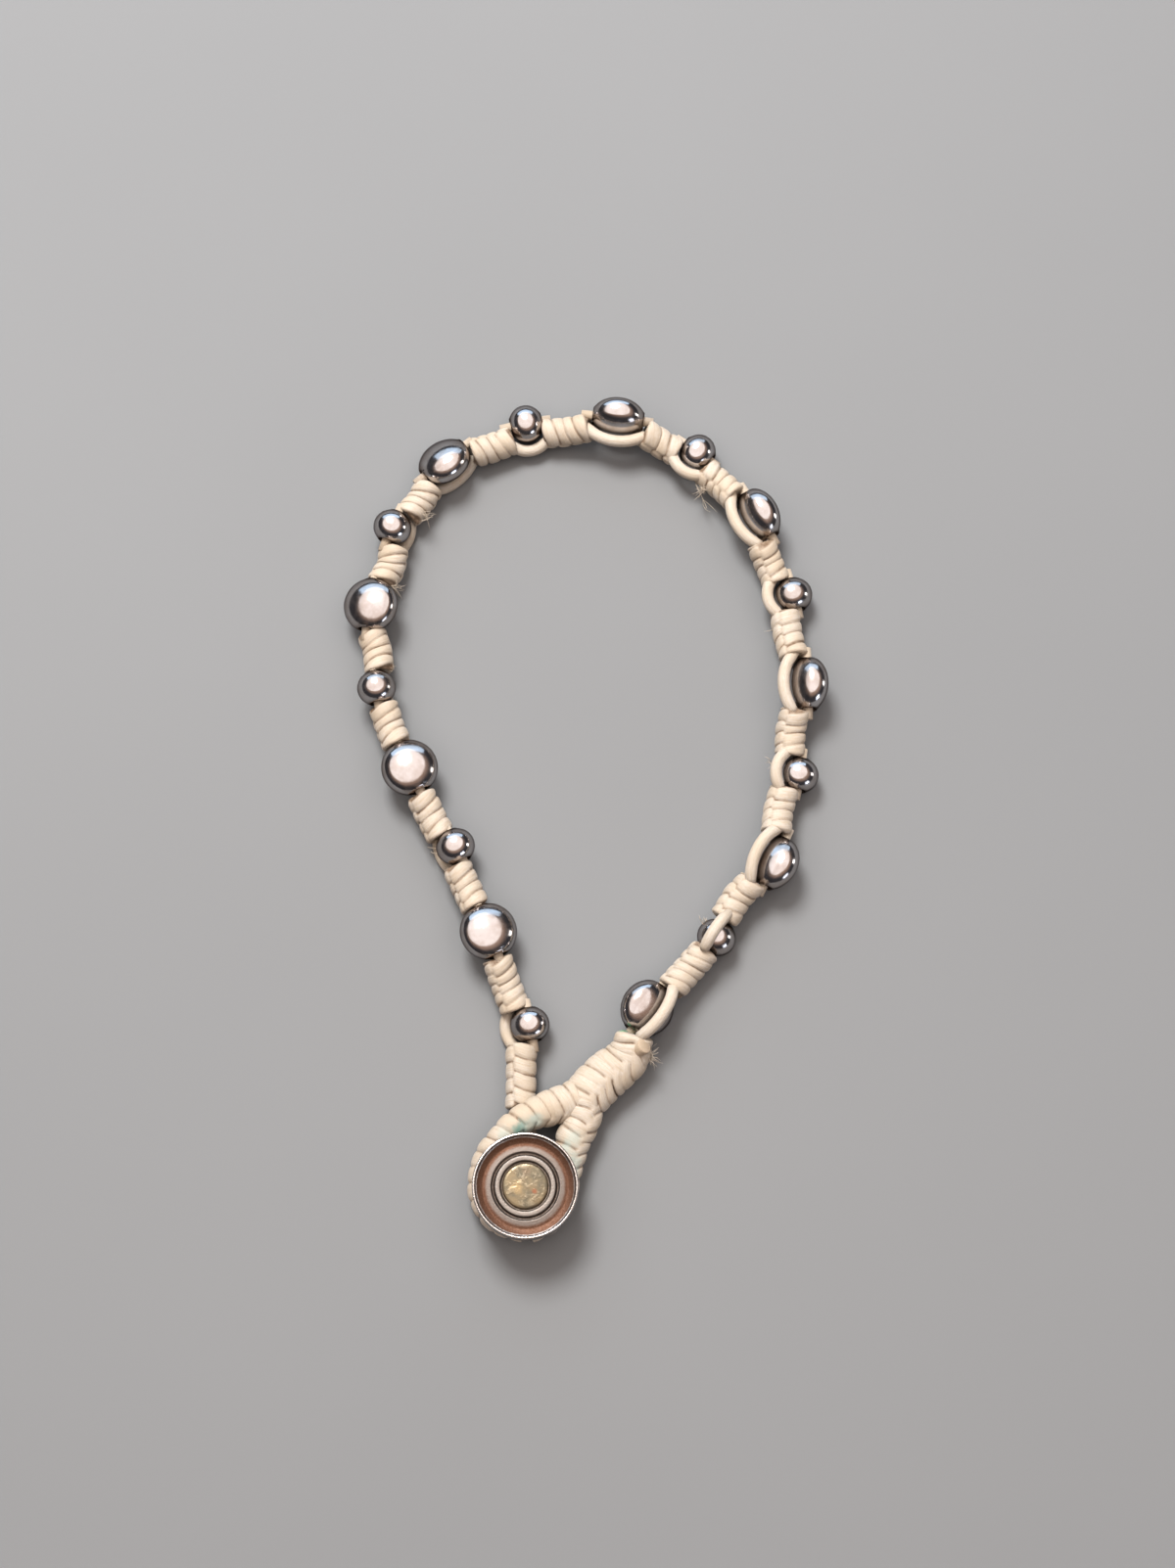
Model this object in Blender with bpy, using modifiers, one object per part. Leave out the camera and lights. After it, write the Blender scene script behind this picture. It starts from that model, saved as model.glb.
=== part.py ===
"""Woven cord bracelet with metal beads, closed by a wrapped loop over a button.

The closed bracelet lies on a table. Its origin is at the bottom centre of its box, +Z is up, and
the button end points along -Y. Sizes are written in millimetres and made metres by MM.
"""
import math

import bmesh
import bpy
from mathutils import Matrix, Vector

MM = 0.001

# Cord
STRAND_DIAMETER = 1.25 * MM
KNOT_WIDTH = 3.3 * MM
WRAP_PITCH = 1.45 * MM
WRAP_RELIEF = 0.22 * MM
BRAID_PITCH = 2.0 * MM
BRAID_FLATNESS = 0.78
STRAND_SUNK = 0.8 * MM
KNOT_DEPTH = 0.9 * MM

# Beads
COIN_WIDTH = 6.1 * MM
COIN_THICKNESS = 4.0 * MM
COIN_EDGE_BAND = 2.6 * MM
COIN_EDGE_BULGE = 0.6 * MM
ROUND_DIAMETER = 4.2 * MM
ROUND_LENGTH = 3.8 * MM
HOLE_PLAY = 0.45 * MM
HOLE_DIAMETER = STRAND_DIAMETER + HOLE_PLAY

# Button
HEAD_DIAMETER = 11.0 * MM
HEAD_THICKNESS = 2.1 * MM
HEAD_UNDERSIDE = 4.6 * MM
CENTRE_DISC_DIAMETER = 4.7 * MM
CENTRE_DISC_THICKNESS = 0.4 * MM
SHANK_THICKNESS = 2.0 * MM
SHANK_WIDTH = 3.4 * MM
EYE_PLAY = 0.5 * MM
EYE_DIAMETER = STRAND_DIAMETER + EYE_PLAY
EYE_FLOOR = 0.475 * MM
EYE_HEIGHT = EYE_DIAMETER / 2 + EYE_FLOOR

# Gaps between neighbouring pieces
CLEARANCE = 0.25 * MM
KNOT_TO_BEAD = 0.15 * MM
BYPASS_TO_KNOT = 0.65 * MM
SEAT_GAP = 0.2 * MM

# Fineness of the round pieces
COIN_SIDES = 16
ROUND_SIDES = 12
BEAD_RINGS = 8
HOLE_SIDES = 8
BUTTON_SIDES = 28

# Route from the button up the left side and down the right side: for each bead its kind, the place
# of its centre (x, y), the place of the middle of the knot before it (x, y), and the turn of the
# bead from facing up towards the outer side of the loop, in degrees.
ROUTE = (
    ("round", (-6.1, -26.1), (-7.0, -31.2), -60),
    ("coin", (-10.5, -16.3), (-8.7, -21.6), -10),
    ("round", (-14.1, -7.0), (-12.9, -11.4), -35),
    ("coin", (-19.1, 1.6), (-16.8, -3.6), -5),
    ("round", (-22.8, 10.5), (-21.4, 6.4), 18),
    ("coin", (-23.6, 19.9), (-22.8, 15.0), 20),
    ("round", (-21.4, 28.9), (-21.5, 24.4), 35),
    ("coin", (-15.8, 36.7), (-18.4, 32.2), 45),
    ("round", (-6.8, 41.3), (-10.6, 38.6), 75),
    ("coin", (3.4, 41.6), (-2.3, 40.4), 100),
    ("round", (12.2, 37.9), (8.0, 39.1), 105),
    ("coin", (18.8, 30.3), (14.7, 34.2), 105),
    ("round", (22.5, 21.4), (19.8, 25.1), 105),
    ("coin", (23.8, 11.0), (21.8, 16.8), 113),
    ("round", (22.8, 1.1), (21.9, 6.1), 120),
    ("coin", (19.9, -8.7), (20.4, -2.9), 132),
    ("round", (13.7, -16.7), (15.9, -12.3), 172),
    ("coin", (6.3, -24.4), (10.7, -20.2), 220),
)

# Lower end of the first knot, where its two strands go on to the button.
FIRST_KNOT_END = (-7.0, -34.0)

# Centre of the button and its shank.
BUTTON_PLACE = (-6.4, -43.5)

# Thick braided stretch after the last bead: x, y, height of the centre line, half width.
BRAID_ROUTE = (
    (4.2, -29.6, 2.5, 2.35),
    (1.7, -31.7, 2.1, 2.6),
    (-0.4, -34.0, 2.1, 2.6),
)

# Wrapped loop from the fork round the shank, measured in the same way, left and right.
LEFT_ROUTE = (
    (-1.0, -33.9, 2.1, 2.1),
    (-4.5, -35.2, 2.7, 2.0),
    (-7.2, -36.5, 3.2, 1.65),
    (-9.4, -38.7, 2.95, 1.5),
    (-10.6, -40.4, 2.5, 1.45),
    (-11.1, -42.3, 2.2, 1.4),
    (-10.9, -44.4, 2.0, 1.4),
    (-9.4, -46.5, 1.9, 1.4),
    (-6.7, -47.5, 1.9, 1.4),
)
RIGHT_ROUTE = (
    (-0.4, -34.1, 2.1, 2.2),
    (-0.6, -36.3, 2.1, 2.0),
    (-1.4, -38.0, 2.15, 1.95),
    (-1.9, -39.9, 2.3, 1.7),
    (-2.2, -41.9, 2.4, 1.45),
    (-2.4, -44.0, 2.2, 1.4),
    (-3.7, -46.3, 1.95, 1.4),
    (-5.9, -47.5, 1.9, 1.4),
)

# Stretch of each branch that is one piece with the braid, so that the fork is whole.
FORK_LENGTH = 3.2 * MM

# One leg of the doubled cord at the button, from the shank's eye to the first knot, as shares: how far
# out it lies between the two strands' own width and the shank's side, how far it has come to the
# knot, and how high it is between the table and the eye.
BUTTON_CORD_LEG = (
    (0.55, 0.0, 1.0),
    (0.90, 0.035, 0.96),
    (1.0, 0.11, 0.77),
    (0.97, 0.27, 0.22),
    (0.52, 0.47, 0.0),
    (0.10, 0.67, 0.0),
    (0.0, 0.85, 0.0),
    (0.0, 1.0, 0.6),
)
STRAND_SPREAD = 0.04 * MM

# Turned profile of the button's head: share of the way from the recess to the rim, share of the
# thickness.
HEAD_RINGS = (
    (0.02, 0.80),
    (0.20, 0.80),
    (0.22, 0.56),
    (0.33, 0.56),
    (0.35, 0.76),
    (0.635, 0.68),
    (0.87, 0.80),
    (0.90, 0.97),
    (0.95, 1.0),
    (1.0, 0.86),
    (1.0, 0.20),
    (0.90, 0.0),
)
RECESS_LEVEL = 0.50

# Colours: red, green, blue, then metallic and roughness.
CORD_LOOK = ((0.72, 0.63, 0.48), 0.0, 0.8)
BEAD_LOOK = ((0.32, 0.31, 0.32), 1.0, 0.12)
BUTTON_LOOK = ((0.45, 0.42, 0.40), 1.0, 0.3)
CENTRE_LOOK = ((0.50, 0.38, 0.22), 1.0, 0.4)

UP = Vector((0.0, 0.0, 1.0))


def clear_scene():
    for item in list(bpy.data.objects):
        bpy.data.objects.remove(item, do_unlink=True)


def new_collection(name):
    collection = bpy.data.collections.new(name)
    bpy.context.scene.collection.children.link(collection)
    return collection


def new_material(name, look):
    colour, metallic, roughness = look
    material = bpy.data.materials.new(name)
    material.use_nodes = True
    shader = material.node_tree.nodes["Principled BSDF"]
    shader.inputs["Base Color"].default_value = (*colour, 1.0)
    shader.inputs["Metallic"].default_value = metallic
    shader.inputs["Roughness"].default_value = roughness
    return material


def evaluated_mesh(item):
    """Mesh of an object with its modifiers or its bevel applied, doubles merged."""
    bpy.context.view_layer.update()
    depsgraph = bpy.context.evaluated_depsgraph_get()
    mesh = bpy.data.meshes.new_from_object(item.evaluated_get(depsgraph))
    bm = bmesh.new()
    bm.from_mesh(mesh)
    bmesh.ops.remove_doubles(bm, verts=bm.verts, dist=0.001 * MM)
    bm.to_mesh(mesh)
    bm.free()
    return mesh


def mesh_object(name, mesh, collection, material=None):
    item = bpy.data.objects.new(name, mesh)
    collection.objects.link(item)
    if material is not None:
        mesh.materials.clear()
        mesh.materials.append(material)
    return item


def tube(name, points, radii, collection, resolution=2):
    """Closed tube along points, with a half width at each point, as a mesh object."""
    curve = bpy.data.curves.new(name, "CURVE")
    curve.dimensions = "3D"
    curve.bevel_depth = 1.0 * MM
    curve.bevel_resolution = resolution
    curve.use_fill_caps = True
    spline = curve.splines.new("POLY")
    spline.points.add(len(points) - 1)
    for place, point, radius in zip(spline.points, points, radii):
        place.co = (*point, 1.0)
        place.radius = radius / MM
    guide = bpy.data.objects.new(name + "_guide", curve)
    collection.objects.link(guide)
    item = mesh_object(name, evaluated_mesh(guide), collection)
    bpy.data.objects.remove(guide, do_unlink=True)
    return item


def boolean(target, other, operation):
    """Replace the target's mesh by its union or difference with another object."""
    modifier = target.modifiers.new(operation, "BOOLEAN")
    modifier.operation = operation
    modifier.object = other
    mesh = evaluated_mesh(target)
    target.modifiers.remove(modifier)
    target.data = mesh


def fused(name, pieces, collection, material):
    """One closed body from overlapping pieces."""
    body = pieces[0]
    for other in pieces[1:]:
        boolean(body, other, "UNION")
        bpy.data.objects.remove(other, do_unlink=True)
    mesh = body.data
    bpy.data.objects.remove(body, do_unlink=True)
    return mesh_object(name, mesh, collection, material)


def smooth_path(points, steps):
    """Points of a smooth curve through the given points, steps to each stretch."""
    path = []
    last = len(points) - 1
    for index in range(last):
        before = points[max(index - 1, 0)]
        start = points[index]
        end = points[index + 1]
        after = points[min(index + 2, last)]
        for step in range(steps):
            t = step / steps
            path.append(hermite(start, end, (end - before) / 2, (after - start) / 2, t))
    path.append(points[last].copy())
    return path


def hermite(start, end, leave, arrive, t):
    return (
        start * (2 * t ** 3 - 3 * t ** 2 + 1)
        + leave * (t ** 3 - 2 * t ** 2 + t)
        + end * (-2 * t ** 3 + 3 * t ** 2)
        + arrive * (t ** 3 - t ** 2)
    )


def path_length(path):
    return sum((b - a).length for a, b in zip(path, path[1:]))


def point_at(path, distance):
    """Point of a path at a distance from its start."""
    for a, b in zip(path, path[1:]):
        step = (b - a).length
        if distance <= step:
            return a.lerp(b, distance / step)
        distance -= step
    return path[-1].copy()


def wrapped_tube(name, path, half_width, collection, pitch, sides_level):
    """Tube whose half width swells at each wrap of cord; half_width is a function of 0 to 1."""
    length = path_length(path)
    wraps = max(2, round(length / pitch))
    points = []
    radii = []
    for step in range(2 * wraps + 1):
        share = step / (2 * wraps)
        swell = half_width(share)
        if step % 2 == 0:
            swell -= WRAP_RELIEF
        points.append(point_at(path, share * length))
        radii.append(swell)
    return tube(name, points, radii, collection, sides_level)


def coin_section(angle):
    """Distance from the hole's axis to the coin bead's skin, at an angle from its face's middle."""
    half_thick = COIN_THICKNESS / 2
    half_band = COIN_EDGE_BAND / 2
    half_width = COIN_WIDTH / 2
    ridge = half_width - COIN_EDGE_BULGE
    face_rise = half_thick - half_band
    face_radius = (face_rise ** 2 + ridge ** 2) / (2 * face_rise)
    face_centre = half_thick - face_radius
    edge_radius = (COIN_EDGE_BULGE ** 2 + half_band ** 2) / (2 * COIN_EDGE_BULGE)
    edge_centre = half_width - edge_radius
    along = abs(math.cos(angle))
    across = abs(math.sin(angle))
    if across * half_band < along * ridge:
        return face_centre * along + math.sqrt(face_radius ** 2 - (face_centre * across) ** 2)
    return edge_centre * across + math.sqrt(edge_radius ** 2 - (edge_centre * along) ** 2)


def round_section(angle):
    return ROUND_DIAMETER / 2


BEAD_KINDS = {
    "coin": (coin_section, COIN_WIDTH / 2, COIN_SIDES),
    "round": (round_section, ROUND_LENGTH / 2, ROUND_SIDES),
}


def bead_mesh(kind, parts, cutters, material):
    """Drilled bead: its hole runs along local Z, and its face looks along local X."""
    section, half_length, sides = BEAD_KINDS[kind]
    bm = bmesh.new()
    bmesh.ops.create_uvsphere(bm, u_segments=sides, v_segments=BEAD_RINGS, radius=1.0)
    for vert in bm.verts:
        angle = math.atan2(vert.co.y, vert.co.x)
        size = section(angle)
        vert.co = (vert.co.x * size, vert.co.y * size, vert.co.z * half_length)
    mesh = bpy.data.meshes.new(kind + "_bead")
    bm.to_mesh(mesh)
    bm.free()
    blank = mesh_object(kind + "_blank", mesh, parts)
    drill = cylinder(kind + "_drill", HOLE_DIAMETER, 4 * half_length, HOLE_SIDES, cutters)
    boolean(blank, drill, "DIFFERENCE")
    drilled = blank.data
    bpy.data.objects.remove(blank, do_unlink=True)
    drilled.materials.clear()
    drilled.materials.append(material)
    return drilled


def cylinder(name, diameter, length, sides, collection):
    bm = bmesh.new()
    bmesh.ops.create_cone(
        bm, cap_ends=True, segments=sides, radius1=diameter / 2, radius2=diameter / 2, depth=length
    )
    mesh = bpy.data.meshes.new(name)
    bm.to_mesh(mesh)
    bm.free()
    item = mesh_object(name, mesh, collection)
    if collection.name == "cutters":
        item.hide_render = True
        item.display_type = "WIRE"
    return item


def resting_height(kind, turn):
    """Height of a bead's centre when the bead, or the strand behind it, touches the table."""
    section, _, _ = BEAD_KINDS[kind]
    lowest = 0.0
    for step in range(72):
        angle = math.tau * step / 72
        lowest = max(lowest, -section(angle) * math.cos(angle - turn))
    behind = bypass_depth(kind) * math.cos(turn) + STRAND_DIAMETER / 2
    return max(lowest, behind)


def bypass_depth(kind):
    """Distance from the hole's axis to the bare strand's axis behind the middle of the bead."""
    section, _, _ = BEAD_KINDS[kind]
    return section(0.0) + CLEARANCE + STRAND_DIAMETER / 2


class BeadPlace:
    """Centre and directions of one bead: along its hole, and from the hole to its outer face."""

    def __init__(self, index):
        self.kind, centre, before, turn = ROUTE[index]
        after = ROUTE[index + 1][2] if index + 1 < len(ROUTE) else BRAID_ROUTE[0]
        turn = math.radians(turn)
        height = resting_height(self.kind, turn)
        self.centre = Vector((centre[0] * MM, centre[1] * MM, height))
        self.along = Vector((after[0] - before[0], after[1] - before[1], 0.0)).normalized()
        outward = UP.cross(self.along)
        self.face = UP * math.cos(turn) + outward * math.sin(turn)
        self.half_length = BEAD_KINDS[self.kind][1]
        self.knot_distance = self.half_length + KNOT_TO_BEAD

    def at(self, along, depth):
        """Point at a distance along the hole and a depth behind it."""
        return self.centre + self.along * along - self.face * depth

    def knot_before(self):
        return self.at(-self.knot_distance, KNOT_DEPTH)

    def knot_after(self):
        return self.at(self.knot_distance, KNOT_DEPTH)

    def matrix(self):
        side = self.along.cross(self.face)
        turn = Matrix((self.face, side, self.along)).transposed()
        return Matrix.Translation(self.centre) @ turn.to_4x4()


def knot_path(start, start_way, middle, end, end_way):
    """Centre line of a knot between two beads, low in the middle where the cord sags."""
    half = (end - start).length / 2
    level = (start.z + end.z) / 2 - STRAND_DIAMETER / 2
    height = max(level, KNOT_WIDTH / 2)
    centre = Vector((middle[0] * MM, middle[1] * MM, height))
    way = (end - start).normalized()
    steps = 12
    path = [
        hermite(start, centre, start_way * half, way * half, step / steps)
        for step in range(steps)
    ]
    path += [
        hermite(centre, end, way * half, end_way * half, step / steps)
        for step in range(steps + 1)
    ]
    return path


def knot_half_width(share):
    """Half width along a knot, a little less at its two ends."""
    ends = min(share, 1.0 - share)
    return KNOT_WIDTH / 2 * (0.94 + 0.06 * min(1.0, 4.0 * ends))


def bypass_path(bead):
    """Bare strand from inside the knot, round the back of the bead, to just before the next knot."""
    reach = bead.half_length + CLEARANCE + STRAND_DIAMETER / 2
    depth = bypass_depth(bead.kind)
    leave = math.acos(bead.knot_distance / reach)
    arrive = math.pi - math.acos((bead.knot_distance - BYPASS_TO_KNOT) / reach)
    path = [bead.at(-bead.knot_distance - STRAND_SUNK, KNOT_DEPTH)]
    steps = 6
    for step in range(steps + 1):
        angle = leave + (arrive - leave) * step / steps
        path.append(bead.at(-reach * math.cos(angle), depth * math.sin(angle)))
    return path


def cord_section(number, knot, bead, parts, material):
    """Knot before a bead, with the strand through the bead and the bare strand behind it."""
    knot_piece = wrapped_tube("knot", knot, knot_half_width, parts, WRAP_PITCH, 3)
    half = STRAND_DIAMETER / 2
    through = [
        bead.at(-bead.knot_distance - STRAND_SUNK, 0.0),
        bead.at(bead.knot_distance - CLEARANCE, 0.0),
    ]
    through_piece = tube("through", through, [half] * 2, parts)
    behind = bypass_path(bead)
    behind_piece = tube("behind", behind, [half] * len(behind), parts)
    pieces = [knot_piece, through_piece, behind_piece]
    return fused(f"cord_section_{number}", pieces, parts, material)


def add_beads_and_cord(parts, cutters, cord, metal):
    meshes = {kind: bead_mesh(kind, parts, cutters, metal) for kind in BEAD_KINDS}
    beads = [BeadPlace(index) for index in range(len(ROUTE))]
    counts = {kind: 0 for kind in BEAD_KINDS}
    for number, bead in enumerate(beads, start=1):
        counts[bead.kind] += 1
        name = f"{bead.kind}_bead_{counts[bead.kind]}"
        item = mesh_object(name, meshes[bead.kind], parts)
        item.matrix_world = bead.matrix()
        middle = ROUTE[number - 1][2]
        if number == 1:
            end = bead.knot_before()
            start = Vector((FIRST_KNOT_END[0] * MM, FIRST_KNOT_END[1] * MM, KNOT_WIDTH / 2))
            way = Vector((middle[0] * MM, middle[1] * MM, start.z)) - start
            knot = knot_path(start, way.normalized(), middle, end, bead.along)
        else:
            previous = beads[number - 2]
            knot = knot_path(
                previous.knot_after(), previous.along, middle, bead.knot_before(), bead.along
            )
        cord_section(number, knot, bead, parts, cord)
    return beads[-1]


def route_points(route):
    return [Vector((x * MM, y * MM, z * MM)) for x, y, z, _ in route]


def route_width(route):
    """Half width as a function of the share of the way along a route."""
    widths = [row[3] * MM for row in route]

    def half_width(share):
        place = share * (len(widths) - 1)
        index = min(int(place), len(widths) - 2)
        return widths[index] + (widths[index + 1] - widths[index]) * (place - index)

    return half_width


def cut_path(path, start, end):
    """Part of a path between two distances from its start, in even short steps."""
    steps = 40
    return [point_at(path, start + (end - start) * step / steps) for step in range(steps + 1)]


def branch_width(route, length, start, end):
    """Half width along the cut part of a branch."""
    whole = route_width(route)
    return lambda share: whole((start + (end - start) * share) / length)


def flatten(item, path, share):
    """Lower a tube's height about its own centre line to a share of its width."""
    for vert in item.data.vertices:
        level = min(path, key=lambda point: (point.xy - vert.co.xy).length).z
        vert.co.z = level + (vert.co.z - level) * share


def add_loop(last_bead, parts, cord):
    """Thick braid after the last bead, its fork, and the wrapped loop round the shank."""
    start = last_bead.knot_after()
    lead = last_bead.at(last_bead.knot_distance + STRAND_DIAMETER, KNOT_DEPTH)
    braid = smooth_path([start, lead] + route_points(BRAID_ROUTE), 12)
    first_width = KNOT_WIDTH / 2 / MM
    widths = ((0.0, 0.0, 0.0, first_width),) * 2 + BRAID_ROUTE
    braid_piece = wrapped_tube("braid", braid, route_width(widths), parts, BRAID_PITCH, 3)
    flatten(braid_piece, braid, BRAID_FLATNESS)
    fork_pieces = [braid_piece]
    for name, route in (("loop_left", LEFT_ROUTE), ("loop_right", RIGHT_ROUTE)):
        path = smooth_path(route_points(route), 12)
        length = path_length(path)
        stub_width = branch_width(route, length, 0.0, FORK_LENGTH)
        stub = cut_path(path, 0.0, FORK_LENGTH)
        stub_piece = wrapped_tube("stub", stub, stub_width, parts, WRAP_PITCH, 3)
        flatten(stub_piece, stub, BRAID_FLATNESS)
        fork_pieces.append(stub_piece)
        begin = FORK_LENGTH + CLEARANCE
        width = branch_width(route, length, begin, length)
        rest = cut_path(path, begin, length)
        branch = wrapped_tube(name, rest, width, parts, WRAP_PITCH, 2)
        branch.data.materials.append(cord)
    fused("loop_braid", fork_pieces, parts, cord)


def add_button_cord(parts, cord):
    """Doubled strand from the first knot through the shank's eye and back."""
    centre = Vector((BUTTON_PLACE[0] * MM, BUTTON_PLACE[1] * MM, 0.0))
    knot = Vector((FIRST_KNOT_END[0] * MM, FIRST_KNOT_END[1] * MM, 0.0))
    reach = (knot - centre).normalized() * ((knot - centre).length - CLEARANCE)
    beside = STRAND_DIAMETER / 2 + STRAND_SPREAD
    outside = SHANK_THICKNESS / 2 + CLEARANCE + STRAND_DIAMETER / 2
    lying = STRAND_DIAMETER / 2 + STRAND_SPREAD
    legs = {}
    for side in (-1, 1):
        legs[side] = [centre + Vector((side * SHANK_THICKNESS * 0.35, 0.0, EYE_HEIGHT))]
        for out, along, up in BUTTON_CORD_LEG:
            offset = side * (beside + (outside - beside) * out)
            height = lying + (EYE_HEIGHT - lying) * up
            legs[side].append(centre + reach * along + Vector((offset, 0.0, height)))
    path = smooth_path(legs[-1][::-1] + legs[1], 2)
    tube("button_cord", path, [STRAND_DIAMETER / 2] * len(path), parts).data.materials.append(cord)


def turned(name, profile, steps, parts, material):
    """Body turned round the Z axis from an open profile that starts and ends on the axis."""
    bm = bmesh.new()
    verts = [bm.verts.new((radius, 0.0, height)) for radius, height in profile]
    for a, b in zip(verts, verts[1:]):
        bm.edges.new((a, b))
    mesh = bpy.data.meshes.new(name)
    bm.to_mesh(mesh)
    bm.free()
    item = mesh_object(name, mesh, parts, material)
    screw = item.modifiers.new("turn", "SCREW")
    screw.steps = steps
    screw.render_steps = steps
    screw.use_merge_vertices = True
    screw.merge_threshold = 0.001 * MM
    return item


def head_profile():
    """Button head from the middle of its recess out to the rim and back under it."""
    rim = HEAD_DIAMETER / 2
    recess = CENTRE_DISC_DIAMETER / 2 + SEAT_GAP
    floor = HEAD_THICKNESS * RECESS_LEVEL
    rings = [
        (recess + (rim - recess) * out, HEAD_THICKNESS * up)
        for out, up in HEAD_RINGS
    ]
    return [(0.0, floor), (recess, floor), *rings, (0.0, 0.0)]


def add_button(parts, cutters, metal, brass):
    place = Vector((BUTTON_PLACE[0] * MM, BUTTON_PLACE[1] * MM, 0.0))
    head = turned("button_head", head_profile(), BUTTON_SIDES, parts, metal)
    head.location = place + UP * HEAD_UNDERSIDE

    disc = cylinder("button_centre", CENTRE_DISC_DIAMETER, CENTRE_DISC_THICKNESS, BUTTON_SIDES, parts)
    disc.data.materials.append(brass)
    seat = HEAD_UNDERSIDE + HEAD_THICKNESS * RECESS_LEVEL + SEAT_GAP
    disc.location = place + UP * (seat + CENTRE_DISC_THICKNESS / 2)

    length = HEAD_UNDERSIDE - SEAT_GAP
    blank = cylinder("shank_blank", 1.0, 1.0, 16, parts)
    for vert in blank.data.vertices:
        vert.co.x *= SHANK_THICKNESS
        vert.co.y *= SHANK_WIDTH
        vert.co.z *= length
        vert.co.z += length / 2
    drill = cylinder("eye_drill", EYE_DIAMETER, 3 * SHANK_THICKNESS, 10, cutters)
    drill.rotation_euler = (0.0, math.pi / 2, 0.0)
    drill.location = (0.0, 0.0, EYE_HEIGHT)
    boolean(blank, drill, "DIFFERENCE")
    shank = mesh_object("button_shank", blank.data, parts, metal)
    bpy.data.objects.remove(blank, do_unlink=True)
    shank.location = place


def centre_on_origin(parts):
    """Hold all pieces on one empty and put the bottom centre of their box at the origin."""
    bpy.context.view_layer.update()
    depsgraph = bpy.context.evaluated_depsgraph_get()
    corners = []
    for item in parts.objects:
        shape = item.evaluated_get(depsgraph)
        corners += [item.matrix_world @ vert.co for vert in shape.data.vertices]
    low = Vector([min(corner[axis] for corner in corners) for axis in range(3)])
    high = Vector([max(corner[axis] for corner in corners) for axis in range(3)])
    middle = (low + high) / 2
    holder = bpy.data.objects.new("bracelet_holder", None)
    for item in list(parts.objects):
        item.parent = holder
    parts.objects.link(holder)
    holder.location = (-middle.x, -middle.y, -low.z)
    bpy.context.view_layer.update()


def shade(parts):
    for item in parts.objects:
        if item.type == "MESH":
            item.data.shade_smooth()
            item.data.set_sharp_from_angle(angle=math.radians(50))


def main():
    clear_scene()
    parts = new_collection("woven_cord_bracelet")
    cutters = new_collection("cutters")
    cord = new_material("waxed_cord", CORD_LOOK)
    metal = new_material("dark_silver", BEAD_LOOK)
    button = new_material("button_metal", BUTTON_LOOK)
    brass = new_material("worn_brass", CENTRE_LOOK)
    last_bead = add_beads_and_cord(parts, cutters, cord, metal)
    add_loop(last_bead, parts, cord)
    add_button_cord(parts, cord)
    add_button(parts, cutters, button, brass)
    centre_on_origin(parts)
    shade(parts)


main()
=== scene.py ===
import math
import random

import bmesh
import bpy
from mathutils import Matrix, Vector


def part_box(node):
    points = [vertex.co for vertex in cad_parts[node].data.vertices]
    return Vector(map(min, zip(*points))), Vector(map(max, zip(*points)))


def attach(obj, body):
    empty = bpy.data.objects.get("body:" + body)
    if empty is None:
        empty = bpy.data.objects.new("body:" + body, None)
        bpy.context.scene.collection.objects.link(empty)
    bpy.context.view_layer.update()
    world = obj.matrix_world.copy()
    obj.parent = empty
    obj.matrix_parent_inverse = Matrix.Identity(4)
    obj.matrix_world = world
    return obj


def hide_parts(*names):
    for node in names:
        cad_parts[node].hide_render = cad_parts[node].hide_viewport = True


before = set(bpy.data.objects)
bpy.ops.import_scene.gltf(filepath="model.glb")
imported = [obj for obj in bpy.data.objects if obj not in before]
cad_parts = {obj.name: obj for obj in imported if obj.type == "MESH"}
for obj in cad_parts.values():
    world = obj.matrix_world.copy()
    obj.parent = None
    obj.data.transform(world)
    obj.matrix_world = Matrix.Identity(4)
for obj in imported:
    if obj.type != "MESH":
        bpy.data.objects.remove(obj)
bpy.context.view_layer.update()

MM = 0.001
UP = Vector((0.0, 0.0, 1.0))
BODY = "root"
SEED = 7

# Sizes shared with the solids, in millimetres.
STRAND = 1.25
KNOT_WIDTH = 3.3
KNOT_DEPTH = 0.9
KNOT_TO_BEAD = 0.15
CLEARANCE = 0.25
COIN_WIDTH = 6.1
COIN_THICKNESS = 4.0
COIN_EDGE_BAND = 2.6
COIN_EDGE_BULGE = 0.6
ROUND_DIAMETER = 4.2
ROUND_LENGTH = 3.8
HOLE_DIAMETER = 1.7
HEAD_DIAMETER = 11.0
HEAD_THICKNESS = 2.1
DISC_DIAMETER = 4.7
DISC_THICKNESS = 0.4
RECESS_FLOOR = 0.64
SHANK_THICKNESS = 2.0
FORK_LENGTH = 3.2
BRAID_FLATNESS = 0.78
BRANCH_FLATNESS = 0.9

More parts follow.
